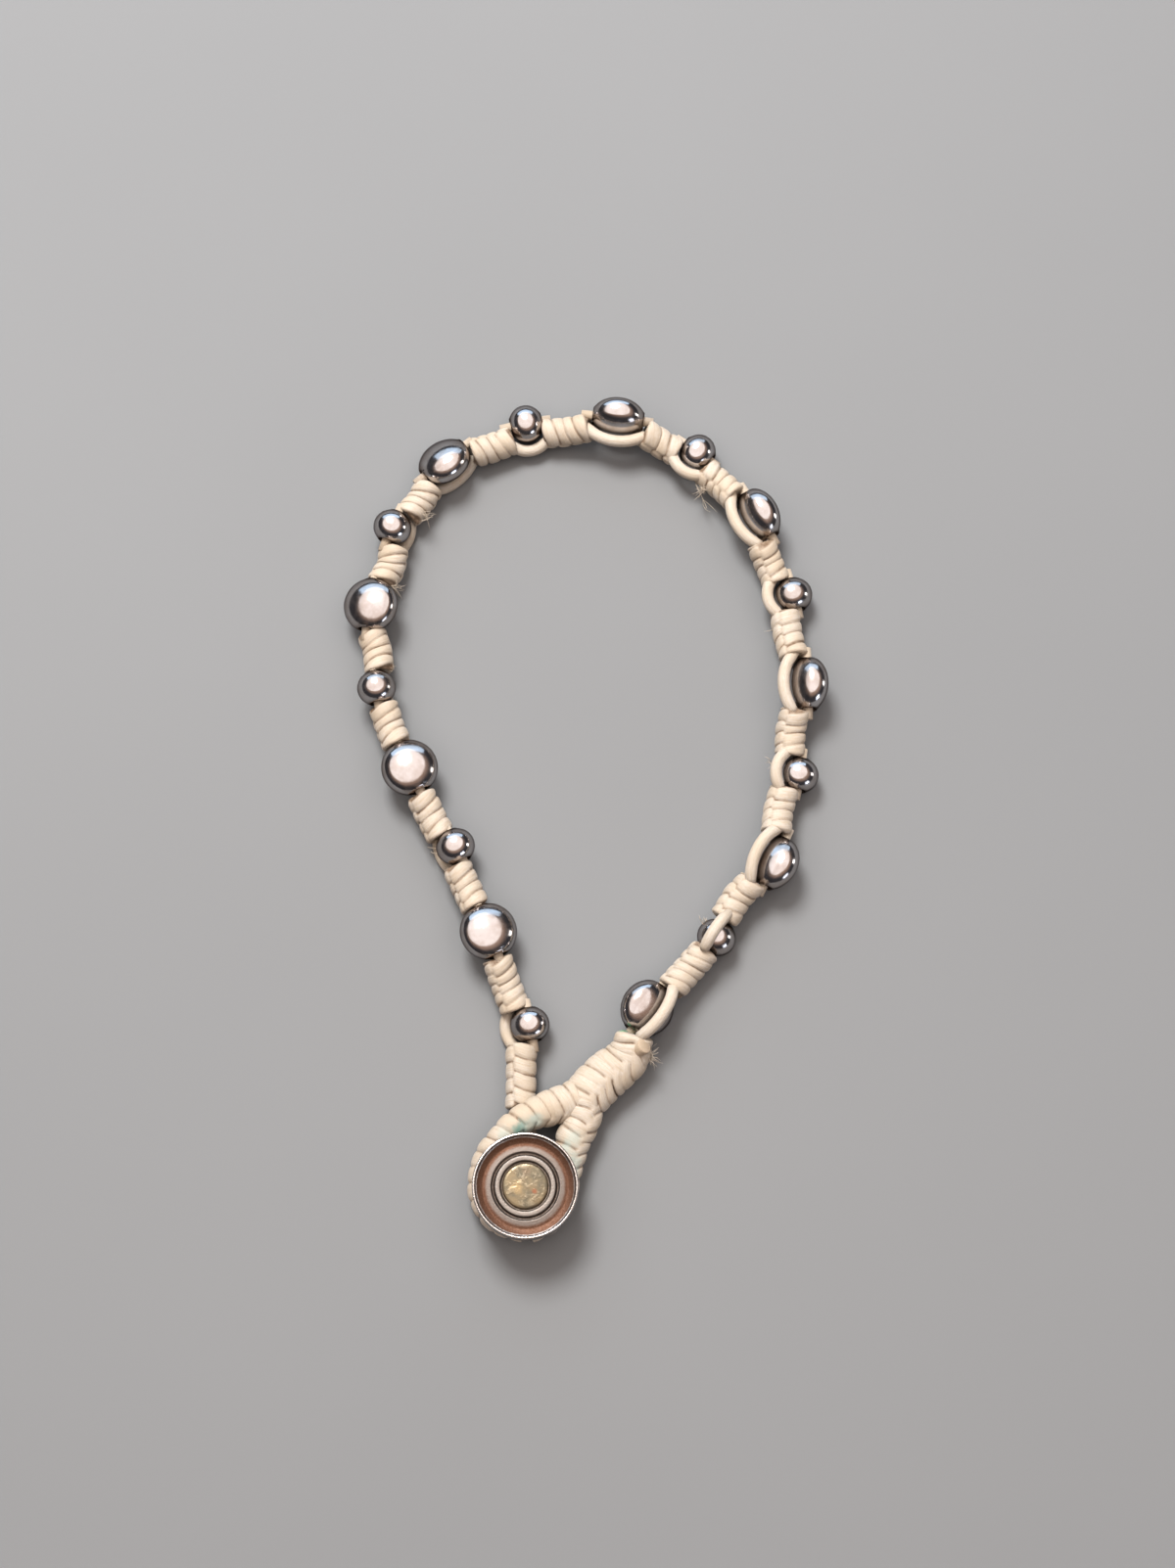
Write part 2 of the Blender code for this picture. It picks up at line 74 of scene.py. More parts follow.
# Beads in order from the button up the left side and down the right side: kind, centre, middle of
# the knot before it, and turn of the face from up towards the loop's outer side in degrees.
ROUTE = (
    ("round", (-6.1, -26.1), (-7.0, -31.2), -60),
    ("coin", (-10.5, -16.3), (-8.7, -21.6), -10),
    ("round", (-14.1, -7.0), (-12.9, -11.4), -35),
    ("coin", (-19.1, 1.6), (-16.8, -3.6), -5),
    ("round", (-22.8, 10.5), (-21.4, 6.4), 18),
    ("coin", (-23.6, 19.9), (-22.8, 15.0), 20),
    ("round", (-21.4, 28.9), (-21.5, 24.4), 35),
    ("coin", (-15.8, 36.7), (-18.4, 32.2), 45),
    ("round", (-6.8, 41.3), (-10.6, 38.6), 75),
    ("coin", (3.4, 41.6), (-2.3, 40.4), 100),
    ("round", (12.2, 37.9), (8.0, 39.1), 105),
    ("coin", (18.8, 30.3), (14.7, 34.2), 105),
    ("round", (22.5, 21.4), (19.8, 25.1), 105),
    ("coin", (23.8, 11.0), (21.8, 16.8), 113),
    ("round", (22.8, 1.1), (21.9, 6.1), 120),
    ("coin", (19.9, -8.7), (20.4, -2.9), 132),
    ("round", (13.7, -16.7), (15.9, -12.3), 172),
    ("coin", (6.3, -24.4), (10.7, -20.2), 220),
)
FIRST_KNOT_END = (-7.0, -34.0)
BUTTON_PLACE = (-6.4, -43.5)

# Braid and the two branches of the loop: x, y, height of the centre line, half width.
BRAID_ROUTE = (
    (4.2, -29.6, 2.5, 2.35),
    (1.7, -31.7, 2.1, 2.6),
    (-0.4, -34.0, 2.1, 2.6),
)
LEFT_ROUTE = (
    (-1.0, -33.9, 2.1, 2.1),
    (-4.5, -35.2, 2.7, 2.0),
    (-7.2, -36.5, 3.2, 1.65),
    (-9.4, -38.7, 2.95, 1.5),
    (-10.6, -40.4, 2.5, 1.45),
    (-11.1, -42.3, 2.2, 1.4),
    (-10.9, -44.4, 2.0, 1.4),
    (-9.4, -46.5, 1.9, 1.4),
    (-6.7, -47.5, 1.9, 1.4),
)
RIGHT_ROUTE = (
    (-0.4, -34.1, 2.1, 2.2),
    (-0.6, -36.3, 2.1, 2.0),
    (-1.4, -38.0, 2.15, 1.95),
    (-1.9, -39.9, 2.3, 1.7),
    (-2.2, -41.9, 2.4, 1.45),
    (-2.4, -44.0, 2.2, 1.4),
    (-3.7, -46.3, 1.95, 1.4),
    (-5.9, -47.5, 1.9, 1.4),
)

# One leg of the doubled cord from the shank's eye to the first knot, as shares: out to the shank's
# side, along to the knot, up to the eye.
BUTTON_CORD_LEG = (
    (0.55, 0.0, 1.0),
    (0.90, 0.035, 0.96),
    (1.0, 0.11, 0.77),
    (0.97, 0.27, 0.22),
    (0.52, 0.47, 0.0),
    (0.10, 0.67, 0.0),
    (0.0, 0.85, 0.0),
    (0.0, 1.0, 0.6),
)
EYE_HEIGHT = 1.35
STRAND_SPREAD = 0.04

# Wraps of cord as seen across a stretch: angle from the top towards the outer side, and how far the
# strand lies ahead of its middle there, in millimetres.
KNOT_FRONT = ((-112, 0.62), (-60, 0.46), (0, 0.05), (60, -0.42), (112, -0.62))
KNOT_BACK = ((68, 0.62), (120, 0.42), (180, 0.0), (240, -0.42), (292, -0.62))
FIRST_FRONT = ((-112, 0.35), (-60, -0.1), (-15, -0.42), (40, -0.35), (80, 0.05), (112, 0.35))
FIRST_BACK = ((68, 0.35), (120, 0.25), (180, 0.0), (240, -0.25), (292, -0.35))
BRAID_LEFT = ((-175, 1.0), (-90, 0.45), (-40, 0.2), (0, -0.1), (30, -0.3), (45, -0.35))
BRAID_RIGHT = ((-16, -1.3), (10, -0.75), (35, 0.05), (60, 0.5), (90, 0.5), (185, -0.6))
LEFT_INNER = ((-175, 0.1), (-90, 0.3), (-40, 0.15), (10, -0.1), (45, -0.25), (70, -0.3))
LEFT_OUTER = ((15, -0.7), (45, -0.3), (75, 0.15), (100, 0.3), (185, -0.3))
RIGHT_INNER = ((-175, -0.5), (-90, -0.45), (-40, -0.2), (0, 0.05), (30, 0.3), (58, 0.5))
RIGHT_OUTER = ((2, 0.85), (30, 0.55), (65, 0.0), (95, -0.35), (185, -0.7))

# Strands laid round a stretch: how far each stands out, how square its back is, the degrees over
# which its ends dip and how far in shares of the rise, the depth where the painted crease shade and
# dirt start and over which they grow, and how far the skin closes at a stretch's ends.
RISE = 0.5
LAP_ROUNDNESS = 2.8
DIP_ANGLE = 34.0
DIP_SHARE = 1.1
CREASE_START = 0.09
CREASE_DEPTH = 0.10
END_CLOSING = 0.45

# Spacing of the strands along each stretch, how far a stretch runs past its ends, and how far a
# knot's outermost strands lie inside them, in millimetres.
FIRST_KNOT_PITCH = 1.75
KNOT_PITCH = 1.32
BRAID_PITCH = 2.6
BRANCH_PITCH = 1.5
KNOT_END_REACH = 0.28
FIRST_KNOT_REACH = 1.0
FORK_OVERLAP = 0.1
KNOT_MARGIN = 0.35
LOOP_END_REACH = 0.39

# Where a knot ends at a bead, away from the face: how far down, and how far sideways; shares by which
# its middle and its ends are pulled straight; points along a route between two places.
KNOT_END_DROP = 0.6
KNOT_END_SHIFT = 1.45
MIDDLE_PULL = 0.2
END_PULL = 0.55
PATH_STEPS = 12

# Bare strands at a bead: how far each reaches into the knots, and how much thicker the outer one is.
BYPASS_LEAD = 1.2
BYPASS_STEPS = 14
BYPASS_SWELL = 1.04
THROUGH_LEAD = 0.9
THROUGH_TAIL = 0.7

# Mouth of a bead's hole, as shares of the hole and of the half length, and the steps down into it;
# how far wear reaches round the hole and along the ridges.
HOLE_TRIM = 1.12
MOUTH_WIDTH = 1.14
MOUTH_HEIGHT = 0.93
MOUTH_STEPS = ((0.90, 0.06), (0.975, 0.35))
HOLE_WEAR_REACH = 0.55
RIDGE_WEAR_REACH = 0.28
RIDGE_WEAR = 0.35

# Turn of each knot's front from up towards the loop's outer side, in degrees.
KNOT_TURNS = (-60, -55, -40, -30, -10, 0, 0, 0, -45, 0, 30, 60, 60, 60, 60, 60, 60, 30)

# Stains on the loop: place, radius, strength and colour.
DEEP_TEAL = (0.12, 0.21, 0.18)
PALE_TEAL = (0.29, 0.335, 0.30)
GREEN = (0.02, 0.22, 0.11)
LOOP_STAINS = (
    ((-6.9, -37.5, 4.4), 1.3, 0.95, DEEP_TEAL),
    ((-6.0, -36.9, 4.2), 1.5, 0.55, PALE_TEAL),
    ((-5.2, -36.5, 4.2), 1.1, 0.6, PALE_TEAL),
    ((-8.5, -38.1, 4.4), 1.3, 0.6, PALE_TEAL),
    ((-7.7, -38.7, 4.3), 0.9, 0.45, PALE_TEAL),
    ((-1.4, -38.2, 3.9), 1.2, 0.6, PALE_TEAL),
    ((-2.3, -39.3, 4.0), 1.1, 0.65, PALE_TEAL),
    ((-1.3, -40.8, 4.0), 1.4, 0.75, PALE_TEAL),
    ((-1.0, -42.1, 3.8), 1.1, 0.5, PALE_TEAL),
    ((3.9, -26.7, 3.4), 0.8, 0.85, GREEN),
    ((4.6, -27.2, 3.2), 0.6, 0.7, GREEN),
)

# Frayed tufts: place, direction, number of fibres and their length.
TUFTS = (
    ((12.2, 32.9, 3.0), (-0.7, -0.6, 0.3), 16, 1.3),
    ((19.6, 17.8, 3.0), (-1, 0, 0.2), 7, 0.9),
    ((18.9, 2.5, 3.0), (-1, -0.1, 0.2), 7, 0.9),
    ((12.0, -14.8, 3.0), (-0.7, 0.6, 0.3), 9, 0.9),
    ((-20.7, 12.5, 3.0), (0.9, -0.4, 0.3), 6, 0.8),
    ((-17.0, 29.6, 3.2), (0.8, -0.6, 0.2), 12, 1.1),
    ((-20.2, 21.7, 3.0), (0.9, -0.5, 0.2), 11, 1.1),
    ((-16.6, -7.9, 3.0), (-0.9, -0.3, 0.2), 6, 0.8),
    ((7.0, -30.0, 3.0), (0.7, -0.5, 0.2), 34, 1.3),
    ((2.0, -34.4, 3.0), (0.6, -0.7, 0.1), 8, 0.8),
    ((13.2, 31.0, 1.6), (0.2, -1, 0.0), 3, 2.0),
)
TUFT_SPREAD = 0.22

# A loose fibre: how deep it starts, how much it leans and curls, its length in shares, the places
# along it with its radius at each, and its least height above the table.
FIBRE_ROOT = 0.95
FIBRE_LEAN = 0.55
FIBRE_CURL = 0.5
FIBRE_LENGTHS = (0.5, 1.15)
FIBRE_SHARES = (-0.75, -0.25, 0.2, 0.5, 0.75, 1.0)
FIBRE_RADII = (0.032, 0.032, 0.03, 0.026, 0.02, 0.012)
FIBRE_FLOOR = 0.08

# Cut end of a strand on the braid: middle of its face, the way it points, and the distances along it
# with its radius at each.
CUT_STEPS = (-1.6, -0.8, -0.3, 0.0, 0.28, 0.32)
CUT_RADII = (0.8, 0.8, 0.8, 0.8, 0.8, 0.74)
CUT_END = ((5.8, -28.8, 4.3), (0.62, 0.30, 0.72))


# Curves and places

def hermite(start, end, leave, arrive, t):
    return (
        start * (2 * t ** 3 - 3 * t ** 2 + 1)
        + leave * (t ** 3 - 2 * t ** 2 + t)
        + end * (-2 * t ** 3 + 3 * t ** 2)
        + arrive * (t ** 3 - t ** 2)
    )


def smooth_path(points, steps):
    path = []
    last = len(points) - 1
    for index in range(last):
        before = points[max(index - 1, 0)]
        start = points[index]
        end = points[index + 1]
        after = points[min(index + 2, last)]
        for step in range(steps):
            leave = (end - before) / 2
            path.append(hermite(start, end, leave, (after - start) / 2, step / steps))
    path.append(points[last].copy())
    return path


def table_value(table, key):
    """Smooth value between the rows of a table of key and value."""
    for index in range(len(table) - 1):
        (low, a), (high, b) = table[index], table[index + 1]
        if key <= high:
            break
    slopes = []
    for mid in (index, index + 1):
        back = table[max(mid - 1, 0)]
        ahead = table[min(mid + 1, len(table) - 1)]
        slopes.append((ahead[1] - back[1]) / (ahead[0] - back[0]) * (high - low))
    share = min(max((key - low) / (high - low), 0.0), 1.0)
    return hermite(a, b, slopes[0], slopes[1], share)


def coin_section(angle):
    """Distance from the hole's axis to the coin bead's skin, with softened ridges."""
    half_thick = COIN_THICKNESS / 2
    half_band = COIN_EDGE_BAND / 2
    half_width = COIN_WIDTH / 2
    ridge = half_width - COIN_EDGE_BULGE
    face_rise = half_thick - half_band
    face_radius = (face_rise ** 2 + ridge ** 2) / (2 * face_rise)
    face_centre = half_thick - face_radius
    edge_radius = (COIN_EDGE_BULGE ** 2 + half_band ** 2) / (2 * COIN_EDGE_BULGE)
    edge_centre = half_width - edge_radius
    along = abs(math.cos(angle))
    across = abs(math.sin(angle))
    turned = math.degrees(math.atan2(across, along) - math.atan2(ridge, half_band))
    to_face = face_centre * along + math.sqrt(face_radius ** 2 - (face_centre * across) ** 2)
    to_edge = edge_centre * across + math.sqrt(edge_radius ** 2 - (edge_centre * along) ** 2)
    soften = 0.05 * max(0.0, 1.0 - abs(turned) / 9.0) ** 2
    return (to_face if turned < 0.0 else to_edge) - soften


def round_section(angle):
    return ROUND_DIAMETER / 2


BEAD_KINDS = {
    "coin": (coin_section, COIN_WIDTH / 2),
    "round": (round_section, ROUND_LENGTH / 2),
}


def bypass_depth(kind):
    section, _ = BEAD_KINDS[kind]
    return section(0.0) + CLEARANCE + STRAND / 2


def resting_height(kind, turn):
    section, _ = BEAD_KINDS[kind]
    lowest = 0.0
    for step in range(72):
        angle = math.tau * step / 72
        lowest = max(lowest, -section(angle) * math.cos(angle - turn))
    return max(lowest, bypass_depth(kind) * math.cos(turn) + STRAND / 2)


button_low, button_high = (Vector(corner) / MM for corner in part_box("button_centre"))
SHIFT = Vector((
    (button_low.x + button_high.x) / 2 - BUTTON_PLACE[0],
    (button_low.y + button_high.y) / 2 - BUTTON_PLACE[1],
    0.0,
))


def place(x, y, z=0.0):
    """Point of the routes in the frame of the solids, in millimetres."""
    return Vector((x, y, z)) + SHIFT


class BeadPlace:
    """Centre and directions of one bead: along its hole, and from the hole to its outer face."""

    def __init__(self, index):
        self.kind, centre, before, turn = ROUTE[index]
        after = ROUTE[index + 1][2] if index + 1 < len(ROUTE) else BRAID_ROUTE[0]
        turn = math.radians(turn)
        self.centre = place(*centre, resting_height(self.kind, turn))
        self.along = Vector((after[0] - before[0], after[1] - before[1], 0.0)).normalized()
        outward = UP.cross(self.along)
        self.face = UP * math.cos(turn) + outward * math.sin(turn)
        self.half_length = BEAD_KINDS[self.kind][1]
        self.knot_distance = self.half_length + KNOT_TO_BEAD

    def at(self, along, depth):
        return self.centre + self.along * along - self.face * depth

    def knot_end(self, side):
        """Middle of the end of the knot before or after the bead, moved over to the bare strand."""
        level = self.face.z * UP
        middle = self.at(side * self.knot_distance, 0.0)
        return middle - level * KNOT_END_DROP - (self.face - level) * KNOT_END_SHIFT

    def matrix(self):
        side = self.along.cross(self.face)
        turn = Matrix((self.face, side, self.along)).transposed()
        return Matrix.Scale(MM, 4) @ Matrix.Translation(self.centre) @ turn.to_4x4()


class Stretch:
    """Centre line of a wrapped stretch with its half width, half height and top at each place."""

    def __init__(self, path, widths, flatness, first_top, last_top):
        self.path = path
        self.widths = widths
        self.flatness = flatness
        self.first_top = first_top
        self.last_top = last_top
        self.marks = [0.0]
        for a, b in zip(path, path[1:]):
            self.marks.append(self.marks[-1] + (b - a).length)
        self.length = self.marks[-1]

    def centre(self, distance):
        if distance <= 0.0:
            way = (self.path[1] - self.path[0]).normalized()
            return self.path[0] + way * distance
        if distance >= self.length:
            way = (self.path[-1] - self.path[-2]).normalized()
            return self.path[-1] + way * (distance - self.length)
        index = 0
        while self.marks[index + 1] < distance:
            index += 1
        share = (distance - self.marks[index]) / (self.marks[index + 1] - self.marks[index])
        return self.path[index].lerp(self.path[index + 1], share)

    def frame(self, distance):
        """Centre, way, top and outer side at a distance along."""
        way = (self.centre(distance + 0.3) - self.centre(distance - 0.3)).normalized()
        share = min(max(distance / self.length, 0.0), 1.0)
        top = self.first_top.lerp(self.last_top, share)
        top = (top - way * top.dot(way)).normalized()
        return self.centre(distance), way, top, top.cross(way)

    def half_width(self, distance):
        share = min(max(distance / self.length, 0.0), 1.0) * (len(self.widths) - 1)
        index = min(int(share), len(self.widths) - 2)
        return self.widths[index] + (self.widths[index + 1] - self.widths[index]) * (share - index)


# Strands of cord

def open_strands():
    bm = bmesh.new()
    for name in ("along", "around", "tone", "crease"):
        bm.verts.layers.float.new(name)
    bm.loops.layers.uv.new("strand")
    return bm


def drawn_out(bm, edges):
    """New vertices and new edges of a loop of edges that is drawn out."""
    made = bmesh.ops.extrude_edge_only(bm, edges=edges)["geom"]
    verts = [item for item in made if isinstance(item, bmesh.types.BMVert)]
    inside = set(verts)
    edges = [
        item for item in made
        if isinstance(item, bmesh.types.BMEdge) and inside.issuperset(item.verts)
    ]
    return verts, edges


def drawn_rings(bm, sides, count):
    """Rings of a closed tube, each drawn out from the one before; shapes come with each step."""
    ring = bmesh.ops.create_circle(bm, cap_ends=False, segments=sides, radius=1.0)["verts"]
    around = bm.verts.layers.float["around"]
    for vert in ring:
        vert[around] = (math.atan2(vert.co.y, vert.co.x) / math.tau) % 1.0
    first_edges = list({edge for vert in ring for edge in vert.link_edges})
    edges = first_edges
    yield 0, ring
    for index in range(1, count):
        ring, edges = drawn_out(bm, edges)
        yield index, ring
    for loop in (first_edges, edges):
        bmesh.ops.edgeloop_fill(bm, edges=loop)


def add_strand(bm, points, outs, half_widths, half_thicks, tone, sides=12):
    """Closed strand through the points, with its map in millimetres along and across."""
    layers = bm.verts.layers.float
    along, around, shade = layers["along"], layers["around"], layers["tone"]
    made_before = len(bm.faces)
    last = len(points) - 1
    distance = 0.0
    for index, ring in drawn_rings(bm, sides, len(points)):
        point = points[index]
        way = (points[min(index + 1, last)] - points[max(index - 1, 0)]).normalized()
        out = outs[index] - way * outs[index].dot(way)
        out.normalize()
        side = way.cross(out)
        if index:
            distance += (point - points[index - 1]).length
        for vert in ring:
            turn = vert[around] * math.tau
            flat = side * (half_widths[index] * math.cos(turn))
            vert.co = point + flat + out * (half_thicks[index] * math.sin(turn))
            vert[along] = distance
            vert[shade] = tone
    uv = bm.loops.layers.uv["strand"]
    bm.faces.ensure_lookup_table()
    for face in bm.faces[made_before:]:
        turns = [loop.vert[around] for loop in face.loops]
        wraps = max(turns) - min(turns) > 0.5
        for loop, turn in zip(face.loops, turns):
            turn += 1.0 if wraps and turn < 0.5 and len(face.loops) == 4 else 0.0
            loop[uv].uv = (loop.vert[along], turn * math.tau * half_widths[last // 2])


class Lap:
    """One strand laid across a stretch: its way round, its middle, half width, rise and tone."""

    def __init__(self, table, middle, half_width, rise, tone, dice):
        self.table = table
        self.middle = middle
        self.half_width = half_width
        self.rise = rise
        self.tone = tone
        self.shift = dice.uniform(0.0, 60.0)
        self.bend = dice.uniform(-0.05, 0.05)

    def at_angle(self, angle):
        """Turned angle, place along and how far the strand dips there; nothing outside its ends."""
        first, last = self.table[0][0], self.table[-1][0]
        if angle < first:
            angle += 360.0
        elif angle > last:
            angle -= 360.0
        if not first <= angle <= last:
            return None
        end = min(angle - first, last - angle)
        dip = max(0.0, 1.0 - end / DIP_ANGLE) ** 1.7 * RISE * DIP_SHARE
        bend = self.bend * math.cos(math.radians(angle * 1.7))
        return angle, self.middle + table_value(self.table, angle) + bend, dip

    def height(self, distance, middle, dip):
        share = abs(distance - middle) / self.half_width
        if share >= 1.0:
            return -1.0
        return self.rise * (1.0 - share ** LAP_ROUNDNESS) ** (1 / LAP_ROUNDNESS) - dip


def add_laid_cord(bm, stretch, laps, start, end, sides=60, step=0.09, blunt=(0.3, 0.3), rim=0.8):
    """Closed skin of strands laid side by side: each stands out, with a crease where two meet."""
    layers = bm.verts.layers.float
    along, around, shade, crease = (layers[n] for n in ("along", "around", "tone", "crease"))
    reach = []
    for side in range(sides):
        angle = 360.0 * side / sides - 180.0
        rows = [(lap, lap.at_angle(angle)) for lap in laps]
        reach.append([(lap, *row) for lap, row in rows if row])

    def highest(side, distance):
        best, top = None, 0.0
        for lap, angle, middle, dip in reach[side]:
            height = lap.height(distance, middle, dip)
            if height > top:
                best, top = (lap, angle, middle), height
        return best, top

    made_before = len(bm.faces)
    count = max(8, round((end - start) / step))
    marks = [start + (end - start) * index / count for index in range(count + 1)]
    marks = [start + min(blunt[0], 0.3)] + marks + [end - min(blunt[1], 0.3)]
    for index, ring in drawn_rings(bm, sides, len(marks)):
        distance = marks[index]
        centre, _, top, outer = stretch.frame(distance)
        half = stretch.half_width(distance)
        near = min((distance - start) / blunt[0], (end - distance) / blunt[1])
        near = min(max(near, 0.0), 1.0)
        close = rim + (1.0 - rim) * math.sqrt(1.0 - (1.0 - near) ** 2)
        if index in (0, len(marks) - 1):
            close = END_CLOSING
        for vert in ring:
            side = round(vert[around] * sides) % sides
            turn = math.radians(360.0 * side / sides - 180.0)
            best, height = highest(side, distance)
            sunk = RISE - height
            up = top * (math.cos(turn) * (half * stretch.flatness - sunk) * close)
            out = outer * (math.sin(turn) * (half - sunk) * close)
            vert.co = centre + up + out
            vert[along] = distance
            # Where no strand stands out, in the gaps between strands, the tone is the darker 0.3: painted
            # shade.
            vert[shade] = best[0].tone if best else 0.3
            # Crease mask from how far the skin sinks between strands; the cord material darkens it as
            # painted shade with some dirt.
            vert[crease] = min(max((sunk - CREASE_START) / CREASE_DEPTH, 0.0), 1.0)
    uv = bm.loops.layers.uv["strand"]
    bm.faces.ensure_lookup_table()
    for face in bm.faces[made_before:]:
        if len(face.loops) > 4:
            continue
        sides_of = [round(loop.vert[around] * sides) % sides for loop in face.loops]
        distances = [loop.vert[along] for loop in face.loops]
        best, _ = highest(sides_of[0], sum(distances) / 4)
        if not best:
            continue
        lap, angle, middle = best
        for loop, side, distance in zip(face.loops, sides_of, distances):
            gap = (side - sides_of[0] + sides / 2) % sides - sides / 2
            arc = math.radians(angle + gap * 360.0 / sides) * stretch.half_width(distance)
            here = next((row[2] for row in reach[side] if row[0] is lap), middle)
            loop[uv].uv = (arc + lap.shift, distance - here + lap.shift)


def add_plain(bm, path, radius, tone, top=UP):
    """Bare strand, drawn in a little at its ends."""
    sizes = [radius] * len(path)
    sizes[0] = sizes[-1] = radius * 0.8
    if len(path) > 4:
        sizes[1] = sizes[-2] = radius * 0.9
    add_strand(bm, path, [top] * len(path), sizes, sizes, tone)


def finish_strands(bm, name, material, node):
    return finish_piece(bm, name, material, node, Matrix.Scale(MM, 4))


def finish_piece(bm, name, material, node, matrix):
    """Makes the mesh a smooth piece that rides the body, in place of the node it stands for."""
    for face in bm.faces:
        face.smooth = True
    bmesh.ops.recalc_face_normals(bm, faces=bm.faces)
    bmesh.ops.transform(bm, matrix=matrix, verts=bm.verts)
    mesh = bpy.data.meshes.new(name)
    bm.to_mesh(mesh)
    bm.free()
    mesh.materials.append(material)
    piece = bpy.data.objects.new(name, mesh)
    bpy.context.scene.collection.objects.link(piece)
    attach(piece, BODY)
    if node:
        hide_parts(node)
    return piece


# Shader groups and materials

def new_group(name, inputs, outputs):
    group = bpy.data.node_groups.new(name, "ShaderNodeTree")
    for label, kind, value in inputs:
        socket = group.interface.new_socket(name=label, in_out="INPUT", socket_type=kind)
        if value is not None:
            socket.default_value = value
    for label, kind in outputs:
        group.interface.new_socket(name=label, in_out="OUTPUT", socket_type=kind)
    return group, group.nodes.new("NodeGroupInput"), group.nodes.new("NodeGroupOutput")


def fill_inputs(links, node, values):
    """Sets each value on its input, or links it where it comes from another node."""
    for key, value in values.items():
        if isinstance(value, bpy.types.NodeSocket):
            links.new(value, node.inputs[key])
        elif value is not None:
            node.inputs[key].default_value = value


def math_node(nodes, links, operation, first, second=None, clamp=False):
    node = nodes.new("ShaderNodeMath")
    node.operation = operation
    node.use_clamp = clamp
    fill_inputs(links, node, {0: first, 1: second})
    return node.outputs[0]


def vector_node(nodes, links, operation, first, second=None):
    node = nodes.new("ShaderNodeVectorMath")
    node.operation = operation
    fill_inputs(links, node, {0: first, 1: second})
    return node


def ranged(nodes, links, value, low, high, to_low=0.0, to_high=1.0):
    node = nodes.new("ShaderNodeMapRange")
    node.interpolation_type = "SMOOTHSTEP"
    fill_inputs(links, node, {
        "Value": value, "From Min": low, "From Max": high, "To Min": to_low, "To Max": to_high,
    })
    return node.outputs["Result"]


def mixed(nodes, links, factor, first, second):
    node = nodes.new("ShaderNodeMix")
    node.data_type = "RGBA"
    values = {0: factor, 6: first, 7: second}
    for key, value in values.items():
        values[key] = (*value, 1.0) if isinstance(value, tuple) else value
    fill_inputs(links, node, values)
    return node.outputs[2]


def noise_node(nodes, links, vector, scale, detail=3.0, rough=0.5):
    node = nodes.new("ShaderNodeTexNoise")
    fill_inputs(links, node, {"Vector": vector, "Scale": scale, "Detail": detail, "Roughness": rough})
    return node.outputs["Fac"]


def build_fibre_group():
    """Fine fibres that run along a strand, from its map in millimetres: shade and height."""
    group, entry, leave = new_group(
        "cord_fibres",
        [("Strand", "NodeSocketVector", None), ("Place", "NodeSocketVector", None)],
        [("Shade", "NodeSocketFloat"), ("Height", "NodeSocketFloat")],
    )
    nodes, links = group.nodes, group.links
    layers = []
    for lengthwise, across, detail in ((0.5, 9.0, 3.0), (0.9, 3.2, 2.0)):
        scaled = vector_node(nodes, links, "MULTIPLY", entry.outputs["Strand"], (lengthwise, across, 1.0))
        layers.append(noise_node(nodes, links, scaled.outputs[0], 1.0, detail, 0.6))
    grain = noise_node(nodes, links, entry.outputs["Place"], 4200.0, 2.0, 0.6)
    mix = math_node(nodes, links, "MULTIPLY", layers[0], 0.5)
    mix = math_node(nodes, links, "ADD", mix, math_node(nodes, links, "MULTIPLY", layers[1], 0.3))
    mix = math_node(nodes, links, "ADD", mix, math_node(nodes, links, "MULTIPLY", grain, 0.2))
    links.new(mix, leave.inputs["Height"])
    links.new(ranged(nodes, links, mix, 0.36, 0.62), leave.inputs["Shade"])
    return group


def build_stain_group():
    """Soft spot with an uneven edge round a place on the part."""
    group, entry, leave = new_group(
        "spread_stain",
        [
            ("Place", "NodeSocketVector", None),
            ("Centre", "NodeSocketVector", (0.0, 0.0, 0.0)),
            ("Radius", "NodeSocketFloat", 0.001),
        ],
        [("Mask", "NodeSocketFloat")],
    )
    nodes, links = group.nodes, group.links
    gap = vector_node(nodes, links, "DISTANCE", entry.outputs["Place"], entry.outputs["Centre"])
    share = math_node(nodes, links, "DIVIDE", gap.outputs["Value"], entry.outputs["Radius"])
    uneven = noise_node(nodes, links, entry.outputs["Place"], 1300.0, 3.0, 0.6)
    push = math_node(nodes, links, "MULTIPLY", math_node(nodes, links, "SUBTRACT", uneven, 0.5), 1.1)
    share = math_node(nodes, links, "ADD", share, push)
    links.new(ranged(nodes, links, share, 1.0, 0.25), leave.inputs["Mask"])
    return group


def new_material(name):
    material = bpy.data.materials.new(name)
    material.use_nodes = True
    nodes, links = material.node_tree.nodes, material.node_tree.links
    shader = nodes["Principled BSDF"]
    coords = nodes.new("ShaderNodeTexCoord")
    return material, nodes, links, shader, coords.outputs["Object"]


def add_bump(nodes, links, shader, height, strength, distance):
    bump = nodes.new("ShaderNodeBump")
    fill_inputs(links, bump, {"Strength": strength, "Distance": distance, "Height": height})
    links.new(bump.outputs["Normal"], shader.inputs["Normal"])


def add_group(nodes, links, group, **given):
    node = nodes.new("ShaderNodeGroup")
    node.node_tree = group
    fill_inputs(links, node, given)
    return node


